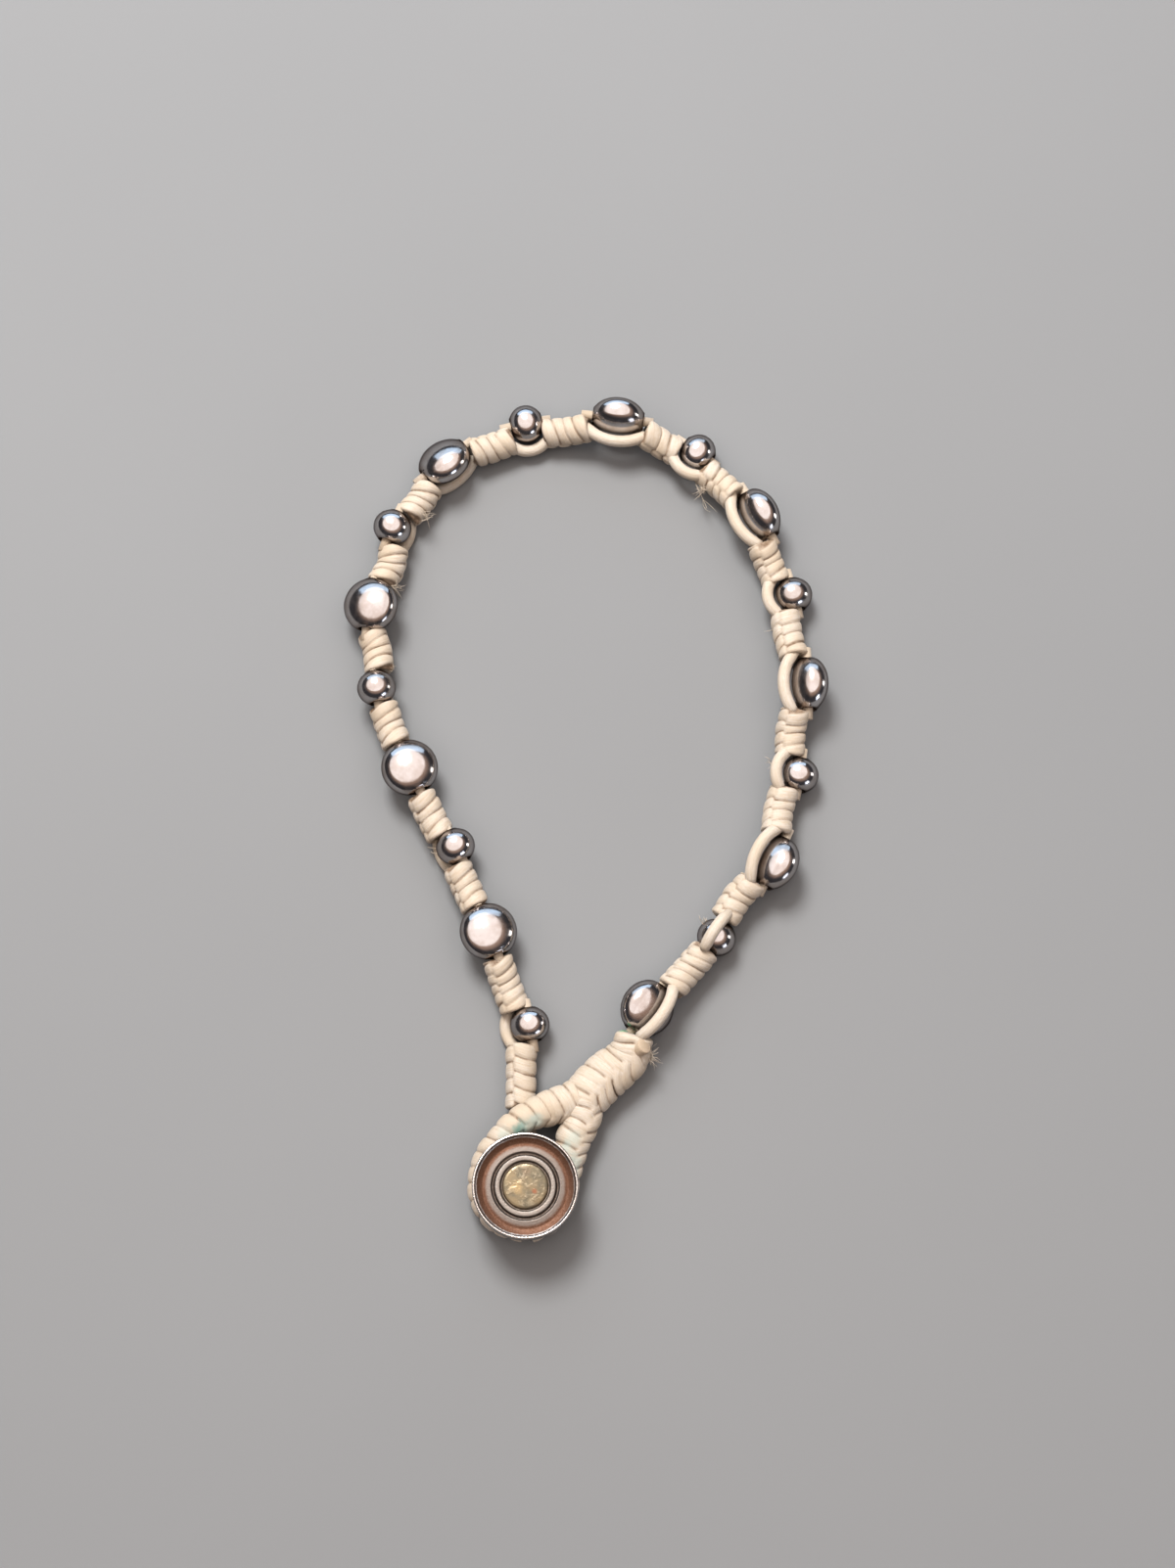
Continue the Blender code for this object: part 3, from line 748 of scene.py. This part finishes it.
def waxed_cord_material(name, fibres, stain, stains=(), cream=(0.42, 0.382, 0.336)):
    """Cream waxed cotton: fibres along the strand, painted shade and some dirt darkening the creases,
    stains where they are given.
    """
    material, nodes, links, shader, where = new_material(name)
    strand = nodes.new("ShaderNodeUVMap")
    strand.uv_map = "strand"
    fibre = add_group(nodes, links, fibres, Strand=strand.outputs[0], Place=where)
    marks = {}
    for mark in ("tone", "crease"):
        marks[mark] = nodes.new("ShaderNodeAttribute")
        marks[mark].attribute_name = mark
    patch = noise_node(nodes, links, where, 260.0, 3.0, 0.55)
    patch = ranged(nodes, links, patch, 0.38, 0.7)
    warm = tuple(part * share for part, share in zip(cream, (0.93, 0.87, 0.78)))
    colour = mixed(nodes, links, patch, cream, warm)
    shaded = tuple(part * share for part, share in zip(cream, (0.87, 0.81, 0.72)))
    faint = ranged(nodes, links, fibre.outputs["Shade"], 0.0, 1.0, 0.1, 1.0)
    colour = mixed(nodes, links, faint, shaded, colour)
    # Tone darkens towards tan: it differs at random from strand to strand, the cut end is its own tan,
    # and it is painted shade in the gaps between strands and on the strand through each bead.
    colour = mixed(nodes, links, marks["tone"].outputs["Fac"], colour, (0.33, 0.25, 0.17))
    uneven = noise_node(nodes, links, where, 1100.0, 3.0, 0.6)
    uneven = ranged(nodes, links, uneven, 0.3, 0.7, 0.55, 1.15)
    # Creases darken towards dark brown: painted shade where strands meet, with some dirt, made uneven by
    # noise.
    crease_shade_and_dirt = math_node(nodes, links, "MULTIPLY", marks["crease"].outputs["Fac"], uneven, clamp=True)
    crease_shade_and_dirt = math_node(nodes, links, "MULTIPLY", crease_shade_and_dirt, 0.85)
    colour = mixed(nodes, links, crease_shade_and_dirt, colour, (0.11, 0.062, 0.03))
    for centre, radius, amount, tint in stains:
        spot = add_group(nodes, links, stain, Place=where, Centre=centre, Radius=radius)
        weight = math_node(nodes, links, "MULTIPLY", spot.outputs["Mask"], amount)
        colour = mixed(nodes, links, weight, colour, tint)
    rough = ranged(nodes, links, fibre.outputs["Height"], 0.3, 0.7, 0.5, 0.72)
    fill_inputs(links, shader, {
        "Base Color": colour, "Roughness": rough, "Sheen Weight": 0.08, "Sheen Roughness": 0.5,
        "Specular IOR Level": 0.35,
    })
    add_bump(nodes, links, shader, fibre.outputs["Height"], 0.8, 0.00012)
    return material


def bead_material():
    """Polished dark silver with faint smears, browner at the holes and along the ridges."""
    material, nodes, links, shader, where = new_material("polished_dark_silver")
    wear = nodes.new("ShaderNodeAttribute")
    wear.attribute_name = "wear"
    smear = noise_node(nodes, links, where, 420.0, 4.0, 0.6)
    tint = ranged(nodes, links, smear, 0.35, 0.68)
    colour = mixed(nodes, links, tint, (0.52, 0.50, 0.50), (0.43, 0.39, 0.37))
    brown = math_node(nodes, links, "MULTIPLY", wear.outputs["Fac"], 0.75)
    colour = mixed(nodes, links, brown, colour, (0.18, 0.13, 0.10))
    fine = noise_node(nodes, links, where, 1700.0, 3.0, 0.65)
    both = math_node(nodes, links, "MULTIPLY", fine, smear)
    fill_inputs(links, shader, {
        "Base Color": colour, "Metallic": 1.0, "Specular Tint": (0.30, 0.28, 0.28, 1.0),
        "Roughness": ranged(nodes, links, both, 0.12, 0.45, 0.12, 0.25),
    })
    add_bump(nodes, links, shader, smear, 0.10, 0.00012)
    return material


def button_materials():
    """Ringed head coloured by the distance from its middle, and the worn centre disc."""
    middle = (button_low + button_high) / 2 * MM
    head, nodes, links, shader, where = new_material("ringed_button_metal")
    moved = vector_node(nodes, links, "SUBTRACT", where, (middle.x, middle.y, 0.0))
    level = vector_node(nodes, links, "MULTIPLY", moved.outputs[0], (1.0, 1.0, 0.0))
    length = vector_node(nodes, links, "LENGTH", level.outputs[0])
    share = math_node(nodes, links, "DIVIDE", length.outputs["Value"], HEAD_DIAMETER / 2 * MM)
    grain = noise_node(nodes, links, where, 2600.0, 3.0, 0.6)
    wobble = math_node(nodes, links, "MULTIPLY", math_node(nodes, links, "SUBTRACT", grain, 0.5), 0.03)
    share = math_node(nodes, links, "ADD", share, wobble)
    ramp = nodes.new("ShaderNodeValToRGB")
    links.new(share, ramp.inputs["Fac"])
    stops = (
        (0.0, (0.06, 0.045, 0.03)), (0.43, (0.06, 0.045, 0.03)), (0.455, (0.19, 0.17, 0.15)),
        (0.565, (0.21, 0.195, 0.18)), (0.585, (0.05, 0.042, 0.035)), (0.605, (0.06, 0.05, 0.042)),
        (0.63, (0.155, 0.14, 0.127)), (0.72, (0.15, 0.13, 0.117)), (0.765, (0.085, 0.044, 0.028)),
        (0.905, (0.08, 0.042, 0.027)), (0.925, (0.62, 0.60, 0.58)), (1.0, (0.45, 0.42, 0.40)),
    )
    elements = ramp.color_ramp.elements
    while len(elements) < len(stops):
        elements.new(0.5)
    for element, (position, tint) in zip(elements, stops):
        element.position = position
        element.color = (*tint, 1.0)
    speckle = noise_node(nodes, links, where, 6500.0, 2.0, 0.7)
    speckle = ranged(nodes, links, speckle, 0.35, 0.7)
    colour = mixed(nodes, links, math_node(nodes, links, "MULTIPLY", speckle, 0.35), ramp.outputs[0],
                   (0.16, 0.11, 0.09))
    rim = ranged(nodes, links, share, 0.91, 0.94, 0.46, 0.20)
    rough = math_node(nodes, links, "ADD", rim, math_node(nodes, links, "MULTIPLY", grain, 0.12))
    fill_inputs(links, shader, {"Base Color": colour, "Metallic": 1.0, "Roughness": rough})
    add_bump(nodes, links, shader, speckle, 0.22, 0.00004)

    disc, nodes, links, shader, where = new_material("worn_brass_disc")
    patch = ranged(nodes, links, noise_node(nodes, links, where, 620.0, 4.0, 0.6), 0.33, 0.67)
    colour = mixed(nodes, links, patch, (0.19, 0.15, 0.095), (0.105, 0.092, 0.067))
    cloud = ranged(nodes, links, noise_node(nodes, links, where, 1500.0, 3.0, 0.6), 0.45, 0.7)
    colour = mixed(nodes, links, math_node(nodes, links, "MULTIPLY", cloud, 0.5), colour,
                   (0.24, 0.20, 0.145))
    for offset, radius, amount, tint in (
        ((0.95, -0.55), 0.42, 0.7, (0.22, 0.07, 0.035)),
        ((-0.9, -0.2), 0.9, 0.55, (0.36, 0.26, 0.135)),
        ((0.2, 1.5), 0.8, 0.5, (0.13, 0.10, 0.075)),
    ):
        centre = middle + Vector((offset[0] * MM, offset[1] * MM, 0.0))
        spot = add_group(nodes, links, STAIN, Place=where, Centre=centre, Radius=radius * MM)
        colour = mixed(nodes, links, math_node(nodes, links, "MULTIPLY", spot.outputs["Mask"], amount),
                       colour, tint)
    rough = ranged(nodes, links, patch, 0.0, 1.0, 0.34, 0.52)
    fill_inputs(links, shader, {"Base Color": colour, "Metallic": 0.85, "Roughness": rough})
    add_bump(nodes, links, shader, cloud, 0.35, 0.00006)
    return head, disc


# Beads

def add_bead(name, bead, material):
    """Bead with its drilled hole, turned and set on its strand."""
    section, half_length = BEAD_KINDS[bead.kind]
    sides, rings = (72, 40) if bead.kind == "coin" else (48, 32)
    bm = bmesh.new()
    wear = bm.verts.layers.float.new("wear")
    bmesh.ops.create_uvsphere(bm, u_segments=sides, v_segments=rings, radius=1.0)
    hole = HOLE_DIAMETER / 2
    for vert in bm.verts:
        angle = math.atan2(vert.co.y, vert.co.x)
        size = section(angle)
        slender = 0.94 if bead.kind == "round" else 1.0
        around = math.hypot(vert.co.x, vert.co.y)
        reach = around ** slender / around if around > 1e-6 else 1.0
        vert.co = (vert.co.x * size * reach, vert.co.y * size * reach, vert.co.z * half_length)
    poles = [vert for vert in bm.verts if math.hypot(vert.co.x, vert.co.y) < hole * HOLE_TRIM]
    bmesh.ops.delete(bm, geom=poles, context="VERTS")
    rims = [edge for edge in bm.edges if edge.is_boundary]
    for vert in {vert for edge in rims for vert in edge.verts}:
        around = math.hypot(vert.co.x, vert.co.y)
        vert.co.x *= hole * MOUTH_WIDTH / around
        vert.co.y *= hole * MOUTH_WIDTH / around
        vert.co.z = math.copysign(half_length * MOUTH_HEIGHT, vert.co.z)
    for shrink, depth in MOUTH_STEPS:
        verts, rims = drawn_out(bm, rims)
        for vert in verts:
            vert.co.x *= shrink
            vert.co.y *= shrink
            vert.co.z -= math.copysign(depth, vert.co.z)
    bmesh.ops.bridge_loops(bm, edges=rims)
    ridge = math.atan2(COIN_WIDTH / 2 - COIN_EDGE_BULGE, COIN_EDGE_BAND / 2)
    for vert in bm.verts:
        around = math.hypot(vert.co.x, vert.co.y)
        near_hole = max(0.0, 1.0 - (around - hole) / HOLE_WEAR_REACH)
        angle = abs(math.atan2(abs(vert.co.y), abs(vert.co.x)) - ridge)
        near_ridge = 0.0
        if bead.kind == "coin":
            near_ridge = max(0.0, 1.0 - angle * around / RIDGE_WEAR_REACH) * RIDGE_WEAR
        vert[wear] = min(1.0, max(near_hole, near_ridge))
    return finish_piece(bm, name + "_polished", material, name, bead.matrix())


# Knots, braid and loop

def knot_path(start, middle, end):
    """Nearly straight way between two knot ends, through the middle seen in the photo."""
    half = (end - start).length / 2
    level = (start.z + end.z) / 2 - STRAND / 2
    centre = place(*middle, max(level, KNOT_WIDTH / 2)).lerp((start + end) / 2, MIDDLE_PULL)
    way = (end - start).normalized() * half
    first = (centre - way).lerp(start, END_PULL)
    last = (centre + way).lerp(end, END_PULL)
    shares = [step / PATH_STEPS for step in range(PATH_STEPS)]
    path = [hermite(first, centre, way, way, share) for share in shares]
    return path + [hermite(centre, last, way, way, share) for share in shares + [1.0]]


def bypass_path(bead):
    reach = bead.half_length + CLEARANCE + STRAND / 2
    depth = bypass_depth(bead.kind)
    leave = math.acos(bead.knot_distance / reach)
    arrive = math.pi - leave
    path = [bead.at(-bead.knot_distance - BYPASS_LEAD, KNOT_DEPTH)]
    for step in range(BYPASS_STEPS + 1):
        angle = leave + (arrive - leave) * step / BYPASS_STEPS
        path.append(bead.at(-reach * math.cos(angle), depth * math.sin(angle)))
    return path


def knot_laps(stretch, tables, pitch, dice):
    """Snake knot: two rows of strands that lock into each other at the sides."""
    front, back = tables
    room = stretch.length - 2 * KNOT_MARGIN
    count = max(2, round(room / pitch) + 1)
    step = room / (count - 1)
    laps = []
    for table, offset, number in ((back, -0.5, count + 1), (front, 0.0, count)):
        for index in range(number):
            middle = KNOT_MARGIN + (index + offset) * step + dice.uniform(-0.05, 0.05)
            wide = step * dice.uniform(0.535, 0.565)
            laps.append(Lap(table, middle, wide, RISE * dice.uniform(0.94, 1.06),
                            dice.uniform(0.06, 0.24), dice))
    return laps


def add_cord_sections(beads, material, dice):
    for number, bead in enumerate(beads, start=1):
        middle = ROUTE[number - 1][2]
        end = bead.knot_end(-1)
        if number == 1:
            start = place(*FIRST_KNOT_END, KNOT_WIDTH / 2)
            tables = (FIRST_FRONT, FIRST_BACK)
            pitch, lead = FIRST_KNOT_PITCH, FIRST_KNOT_REACH
        else:
            previous = beads[number - 2]
            start = previous.knot_end(1)
            tables = (KNOT_FRONT, KNOT_BACK)
            pitch, lead = KNOT_PITCH, KNOT_END_REACH
        path = knot_path(start, middle, end)
        turn = math.radians(KNOT_TURNS[number - 1])
        outward = UP.cross((end - start).normalized())
        front = UP * math.cos(turn) + outward * math.sin(turn)
        stretch = Stretch(path, [KNOT_WIDTH / 2] * 2, 1.0, front, front)
        bm = open_strands()
        laps = knot_laps(stretch, tables, pitch, dice)
        add_laid_cord(bm, stretch, laps, -lead, stretch.length + KNOT_END_REACH)
        through = [
            bead.at(distance, 0.0)
            for distance in (-bead.knot_distance - THROUGH_LEAD, 0.0, bead.knot_distance + THROUGH_TAIL)
        ]
        # The strand through the bead takes the darker tone 0.3: painted shade inside the hole.
        add_plain(bm, through, STRAND / 2, 0.3, top=bead.face)
        add_plain(bm, bypass_path(bead), STRAND / 2 * BYPASS_SWELL, 0.0, top=bead.face)
        finish_strands(bm, f"cord_section_{number}_knotted", material, f"cord_section_{number}")


def route_stretch(points, widths, flatness):
    return Stretch(smooth_path(points, PATH_STEPS), widths, flatness, UP, UP)


def column_laps(table, first, pitch, count, dice, pair=1, spread=0.94, fill=0.55, tone=0.24):
    """Row of strands on one side of a stretch; a pair lays two strands close together."""
    laps = []
    for index in range(count):
        for strand in range(pair):
            share = ((strand + 0.5) / pair - 0.5) * spread
            middle = first + (index + share) * pitch + dice.uniform(-0.05, 0.05)
            wide = pitch / pair * (fill + dice.uniform(-0.015, 0.015))
            laps.append(Lap(table, middle, wide, RISE * dice.uniform(0.92, 1.08),
                            dice.uniform(0.05, tone), dice))
    return laps


def add_loop(last_bead, material, dice):
    start = last_bead.at(last_bead.knot_distance, KNOT_DEPTH)
    points = [start] + [place(x, y, z) for x, y, z, _ in BRAID_ROUTE]
    points.append(points[-1] * 1.5 - points[-2] * 0.5)
    widths = [2.0] + [row[3] for row in BRAID_ROUTE] + [2.5]
    braid = route_stretch(points, widths, BRAID_FLATNESS)
    branches = {}
    for name, route in (("left", LEFT_ROUTE), ("right", RIGHT_ROUTE)):
        branches[name] = route_stretch(
            [place(x, y, z) for x, y, z, _ in route], [row[3] for row in route], BRANCH_FLATNESS
        )

    laps = {"braid": column_laps(BRAID_RIGHT, -0.9, BRAID_PITCH, 5, dice, pair=2, tone=0.3)}
    laps["braid"] += column_laps(
        BRAID_LEFT, -0.6, BRAID_PITCH, 5, dice, pair=2, spread=0.86, fill=0.62
    )
    for name, outer, inner in (
        ("left", LEFT_OUTER, LEFT_INNER), ("right", RIGHT_OUTER, RIGHT_INNER),
    ):
        count = int(branches[name].length / BRANCH_PITCH) + 1
        laps[name] = column_laps(outer, 0.5, BRANCH_PITCH, count, dice)
        laps[name] += column_laps(inner, 0.1, BRANCH_PITCH, count, dice)

    bm = open_strands()
    add_laid_cord(bm, braid, laps["braid"], -0.2, braid.length, sides=76, blunt=(0.5, 2.4), rim=0.45)
    for name, branch in branches.items():
        add_laid_cord(bm, branch, laps[name], 0.0, FORK_LENGTH + FORK_OVERLAP,
                      sides=64, blunt=(0.3, 0.12))
    cut, way = place(*CUT_END[0]), Vector(CUT_END[1]).normalized()
    stub = [cut + way * distance for distance in CUT_STEPS]
    add_strand(bm, stub, [UP] * len(stub), CUT_RADII, CUT_RADII, 0.7, sides=24)
    finish_strands(bm, "loop_braid_wrapped", material, "loop_braid")
    for name, branch in branches.items():
        bm = open_strands()
        add_laid_cord(bm, branch, laps[name], FORK_LENGTH - FORK_OVERLAP,
                      branch.length + LOOP_END_REACH, sides=64, blunt=(0.12, 0.1))
        finish_strands(bm, f"loop_{name}_wrapped", material, f"loop_{name}")


def add_button_cord(material):
    centre = place(*BUTTON_PLACE)
    knot = place(*FIRST_KNOT_END)
    reach = (knot - centre).normalized() * ((knot - centre).length - CLEARANCE)
    beside = STRAND / 2 + STRAND_SPREAD
    outside = SHANK_THICKNESS / 2 + CLEARANCE + STRAND / 2
    legs = {}
    for side in (-1, 1):
        legs[side] = [centre + Vector((side * SHANK_THICKNESS * 0.35, 0.0, EYE_HEIGHT))]
        for out, along, up in BUTTON_CORD_LEG:
            offset = side * (beside + (outside - beside) * out)
            height = beside + (EYE_HEIGHT - beside) * up
            legs[side].append(centre + reach * along + Vector((offset, 0.0, height)))
    bm = open_strands()
    add_plain(bm, smooth_path(legs[-1][::-1] + legs[1], 3), STRAND / 2, 0.1)
    finish_strands(bm, "button_cord_strand", material, "button_cord")


# Button

def turned_piece(name, profile, steps, at, material, node):
    """Body turned round a vertical axis from a profile that starts and ends on the axis."""
    bm = bmesh.new()
    verts = [bm.verts.new((radius, 0.0, height)) for radius, height in profile]
    edges = [bm.edges.new((a, b)) for a, b in zip(verts, verts[1:])]
    bmesh.ops.spin(
        bm, geom=verts + edges, cent=(0.0, 0.0, 0.0), axis=(0.0, 0.0, 1.0),
        angle=math.tau, steps=steps, use_merge=True, use_duplicate=False,
    )
    bmesh.ops.remove_doubles(bm, verts=bm.verts, dist=0.001)
    matrix = Matrix.Scale(MM, 4) @ Matrix.Translation(at)
    return finish_piece(bm, name, material, node, matrix)


def rounded_profile(corners, radius, steps=3):
    """Profile with its corners rounded by short arcs of bezier points."""
    points = [Vector(corners[0])]
    for before, corner, after in zip(corners, corners[1:], corners[2:]):
        before, corner, after = Vector(before), Vector(corner), Vector(after)
        back = before - corner
        ahead = after - corner
        reach = min(radius, back.length * 0.45, ahead.length * 0.45)
        start = corner + back.normalized() * reach
        end = corner + ahead.normalized() * reach
        for step in range(steps + 1):
            t = step / steps
            points.append(start.lerp(corner, t).lerp(corner.lerp(end, t), t))
    points.append(Vector(corners[-1]))
    return points


def add_button(head_metal, disc_metal):
    rim = HEAD_DIAMETER / 2
    recess = DISC_DIAMETER / 2 + 0.2
    low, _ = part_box("button_head")
    base = low[2] / MM
    centre = place(*BUTTON_PLACE)
    rings = (
        (0.02, 0.80), (0.20, 0.80), (0.23, 0.64), (0.30, 0.64), (0.34, 0.74), (0.635, 0.68),
        (0.87, 0.80), (0.895, 0.93), (0.92, 1.0), (0.985, 0.98), (1.0, 0.88), (1.0, 0.20), (0.90, 0.0),
    )
    floor = HEAD_THICKNESS * RECESS_FLOOR
    corners = [(0.0, floor), (recess, floor)]
    corners += [(recess + (rim - recess) * out, HEAD_THICKNESS * up) for out, up in rings]
    corners.append((0.0, 0.0))
    profile = rounded_profile(corners, 0.12)
    turned_piece("button_head_ringed", profile, 120, centre + UP * base, head_metal,
                 "button_head")

    disc_low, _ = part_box("button_centre")
    half = DISC_DIAMETER / 2
    corners = [
        (0.0, DISC_THICKNESS), (half * 0.9, DISC_THICKNESS), (half, DISC_THICKNESS * 0.8),
        (half, 0.0), (0.0, 0.0),
    ]
    turned_piece("button_centre_worn", rounded_profile(corners, 0.1), 72,
                 centre + UP * (disc_low[2] / MM), disc_metal, "button_centre")


# Light, floor and camera

# Soft lights in metres: name, direction, distance, width, height, watts, tint and shape.
PANELS = (
    ("overhead_panel", (-0.10, 0.16, 0.98), 0.50, 1.24, 1.24, 4.0, (1.0, 0.99, 0.98), "ELLIPSE"),
    ("key_lamp", (-0.19, 0.50, 0.84), 0.60, 0.24, 0.24, 4.8, (1.0, 0.98, 0.96), "ELLIPSE"),
    ("back_window", (-0.10, 0.88, 0.36), 0.60, 0.90, 0.26, 1.1, (0.62, 0.80, 1.0), "RECTANGLE"),
    ("side_window", (0.98, 0.04, 0.17), 0.60, 0.12, 0.16, 0.25, (1.0, 0.98, 0.96), "RECTANGLE"),
    ("front_window", (0.63, -0.75, 0.16), 0.60, 0.20, 0.16, 0.35, (0.78, 0.86, 1.0), "RECTANGLE"),
)


def add_panel(name, direction, distance, width, height, watts, tint, shape):
    data = bpy.data.lights.new(name, "AREA")
    data.shape = shape
    data.size = width
    data.size_y = height
    data.energy = watts
    data.color = tint
    light = bpy.data.objects.new(name, data)
    towards = Vector(direction).normalized()
    light.location = towards * distance
    light.rotation_euler = towards.to_track_quat("Z", "Y").to_euler()
    bpy.context.scene.collection.objects.link(light)


def set_world():
    world = bpy.data.worlds.new("soft_studio")
    bpy.context.scene.world = world
    world.use_nodes = True
    nodes, links = world.node_tree.nodes, world.node_tree.links
    background = nodes["Background"]
    coords = nodes.new("ShaderNodeTexCoord")
    split = nodes.new("ShaderNodeSeparateXYZ")
    links.new(coords.outputs["Generated"], split.inputs[0])
    high = ranged(nodes, links, split.outputs["Z"], 0.35, 0.72)
    colour = mixed(nodes, links, high, (0.07, 0.068, 0.075), (0.56, 0.40, 0.32))
    fill_inputs(links, background, {"Color": colour, "Strength": 1.0})


def add_floor():
    bm = bmesh.new()
    bmesh.ops.create_grid(bm, x_segments=1, y_segments=1, size=1.5)
    mesh = bpy.data.meshes.new("floor")
    bm.to_mesh(mesh)
    bm.free()
    floor = bpy.data.objects.new("floor", mesh)
    bpy.context.scene.collection.objects.link(floor)
    material, nodes, links, shader, where = new_material("pale_floor")
    shade = noise_node(nodes, links, where, 9.0, 3.0, 0.5)
    colour = mixed(nodes, links, shade, (0.158, 0.165, 0.170), (0.179, 0.186, 0.191))
    fill_inputs(links, shader, {
        "Base Color": colour, "Roughness": 0.75, "Specular IOR Level": 0.25,
    })
    mesh.materials.append(material)


# Camera as found from the photo: focal length and half the picture's height in its pixels, height
# above the table in degrees, distance and place looked at in millimetres.
FOCAL_PIXELS = 3040.0
HALF_HEIGHT_PIXELS = 801.0
CAMERA_RISE = 76.0
CAMERA_DISTANCE = 320.0
VIEW_CENTRE = (0.0, 0.0, 2.6)
SENSOR_HEIGHT = 24.0


def add_camera():
    data = bpy.data.cameras.new("camera")
    data.sensor_fit = "VERTICAL"
    data.sensor_height = SENSOR_HEIGHT
    data.lens = SENSOR_HEIGHT / 2 / (HALF_HEIGHT_PIXELS / FOCAL_PIXELS)
    data.clip_start = 0.01
    data.clip_end = 20.0
    camera = bpy.data.objects.new("camera", data)
    target = place(*VIEW_CENTRE) * MM
    rise = math.radians(CAMERA_RISE)
    away = Vector((0.0, -math.cos(rise), math.sin(rise)))
    camera.location = target + away * CAMERA_DISTANCE * MM
    camera.rotation_euler = away.to_track_quat("Z", "Y").to_euler()
    bpy.context.scene.collection.objects.link(camera)
    bpy.context.scene.camera = camera


# Loose fibres

def add_fuzz(name, material, dice):
    """Loose fibres of all tufts as one piece."""
    bm = open_strands()
    for at, way, count, length in TUFTS:
        point, way = place(*at), Vector(way)
        for _ in range(count):
            start = point - way * FIBRE_ROOT + Vector([dice.gauss(0.0, TUFT_SPREAD) for _ in range(3)])
            lean = (way + Vector([dice.gauss(0.0, FIBRE_LEAN) for _ in range(3)])).normalized()
            curl = Vector([dice.gauss(0.0, FIBRE_CURL) for _ in range(3)])
            reach = length * dice.uniform(*FIBRE_LENGTHS)
            path = [start + lean * reach * t + curl * reach * t * t * 0.5 for t in FIBRE_SHARES]
            for spot in path:
                spot.z = max(spot.z, FIBRE_FLOOR)
            add_strand(bm, path, [UP] * len(path), FIBRE_RADII, FIBRE_RADII, 0.0, sides=4)
    finish_strands(bm, name, material, None)


FIBRES = build_fibre_group()
STAIN = build_stain_group()


def main():
    dice = random.Random(SEED)
    cord = waxed_cord_material("waxed_cotton_cord", FIBRES, STAIN)
    stains = [
        (place(*at) * MM, radius * MM, strength, tint) for at, radius, strength, tint in LOOP_STAINS
    ]
    loop_cord = waxed_cord_material("waxed_cotton_loop", FIBRES, STAIN, stains)
    metal = bead_material()
    head_metal, disc_metal = button_materials()
    beads = [BeadPlace(index) for index in range(len(ROUTE))]
    counts = {"coin": 0, "round": 0}
    for bead in beads:
        counts[bead.kind] += 1
        add_bead(f"{bead.kind}_bead_{counts[bead.kind]}", bead, metal)
    add_cord_sections(beads, cord, dice)
    add_loop(beads[-1], loop_cord, dice)
    add_button_cord(cord)
    add_fuzz("loose_fibres", cord, dice)
    add_button(head_metal, disc_metal)
    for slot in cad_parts["button_shank"].material_slots:
        slot.material = head_metal
    set_world()
    add_floor()
    for panel in PANELS:
        add_panel(*panel)
    add_camera()
    scene = bpy.context.scene
    scene.view_settings.view_transform = "Standard"
    scene.view_settings.look = "Medium High Contrast"


main()
bpy.context.view_layer.update()
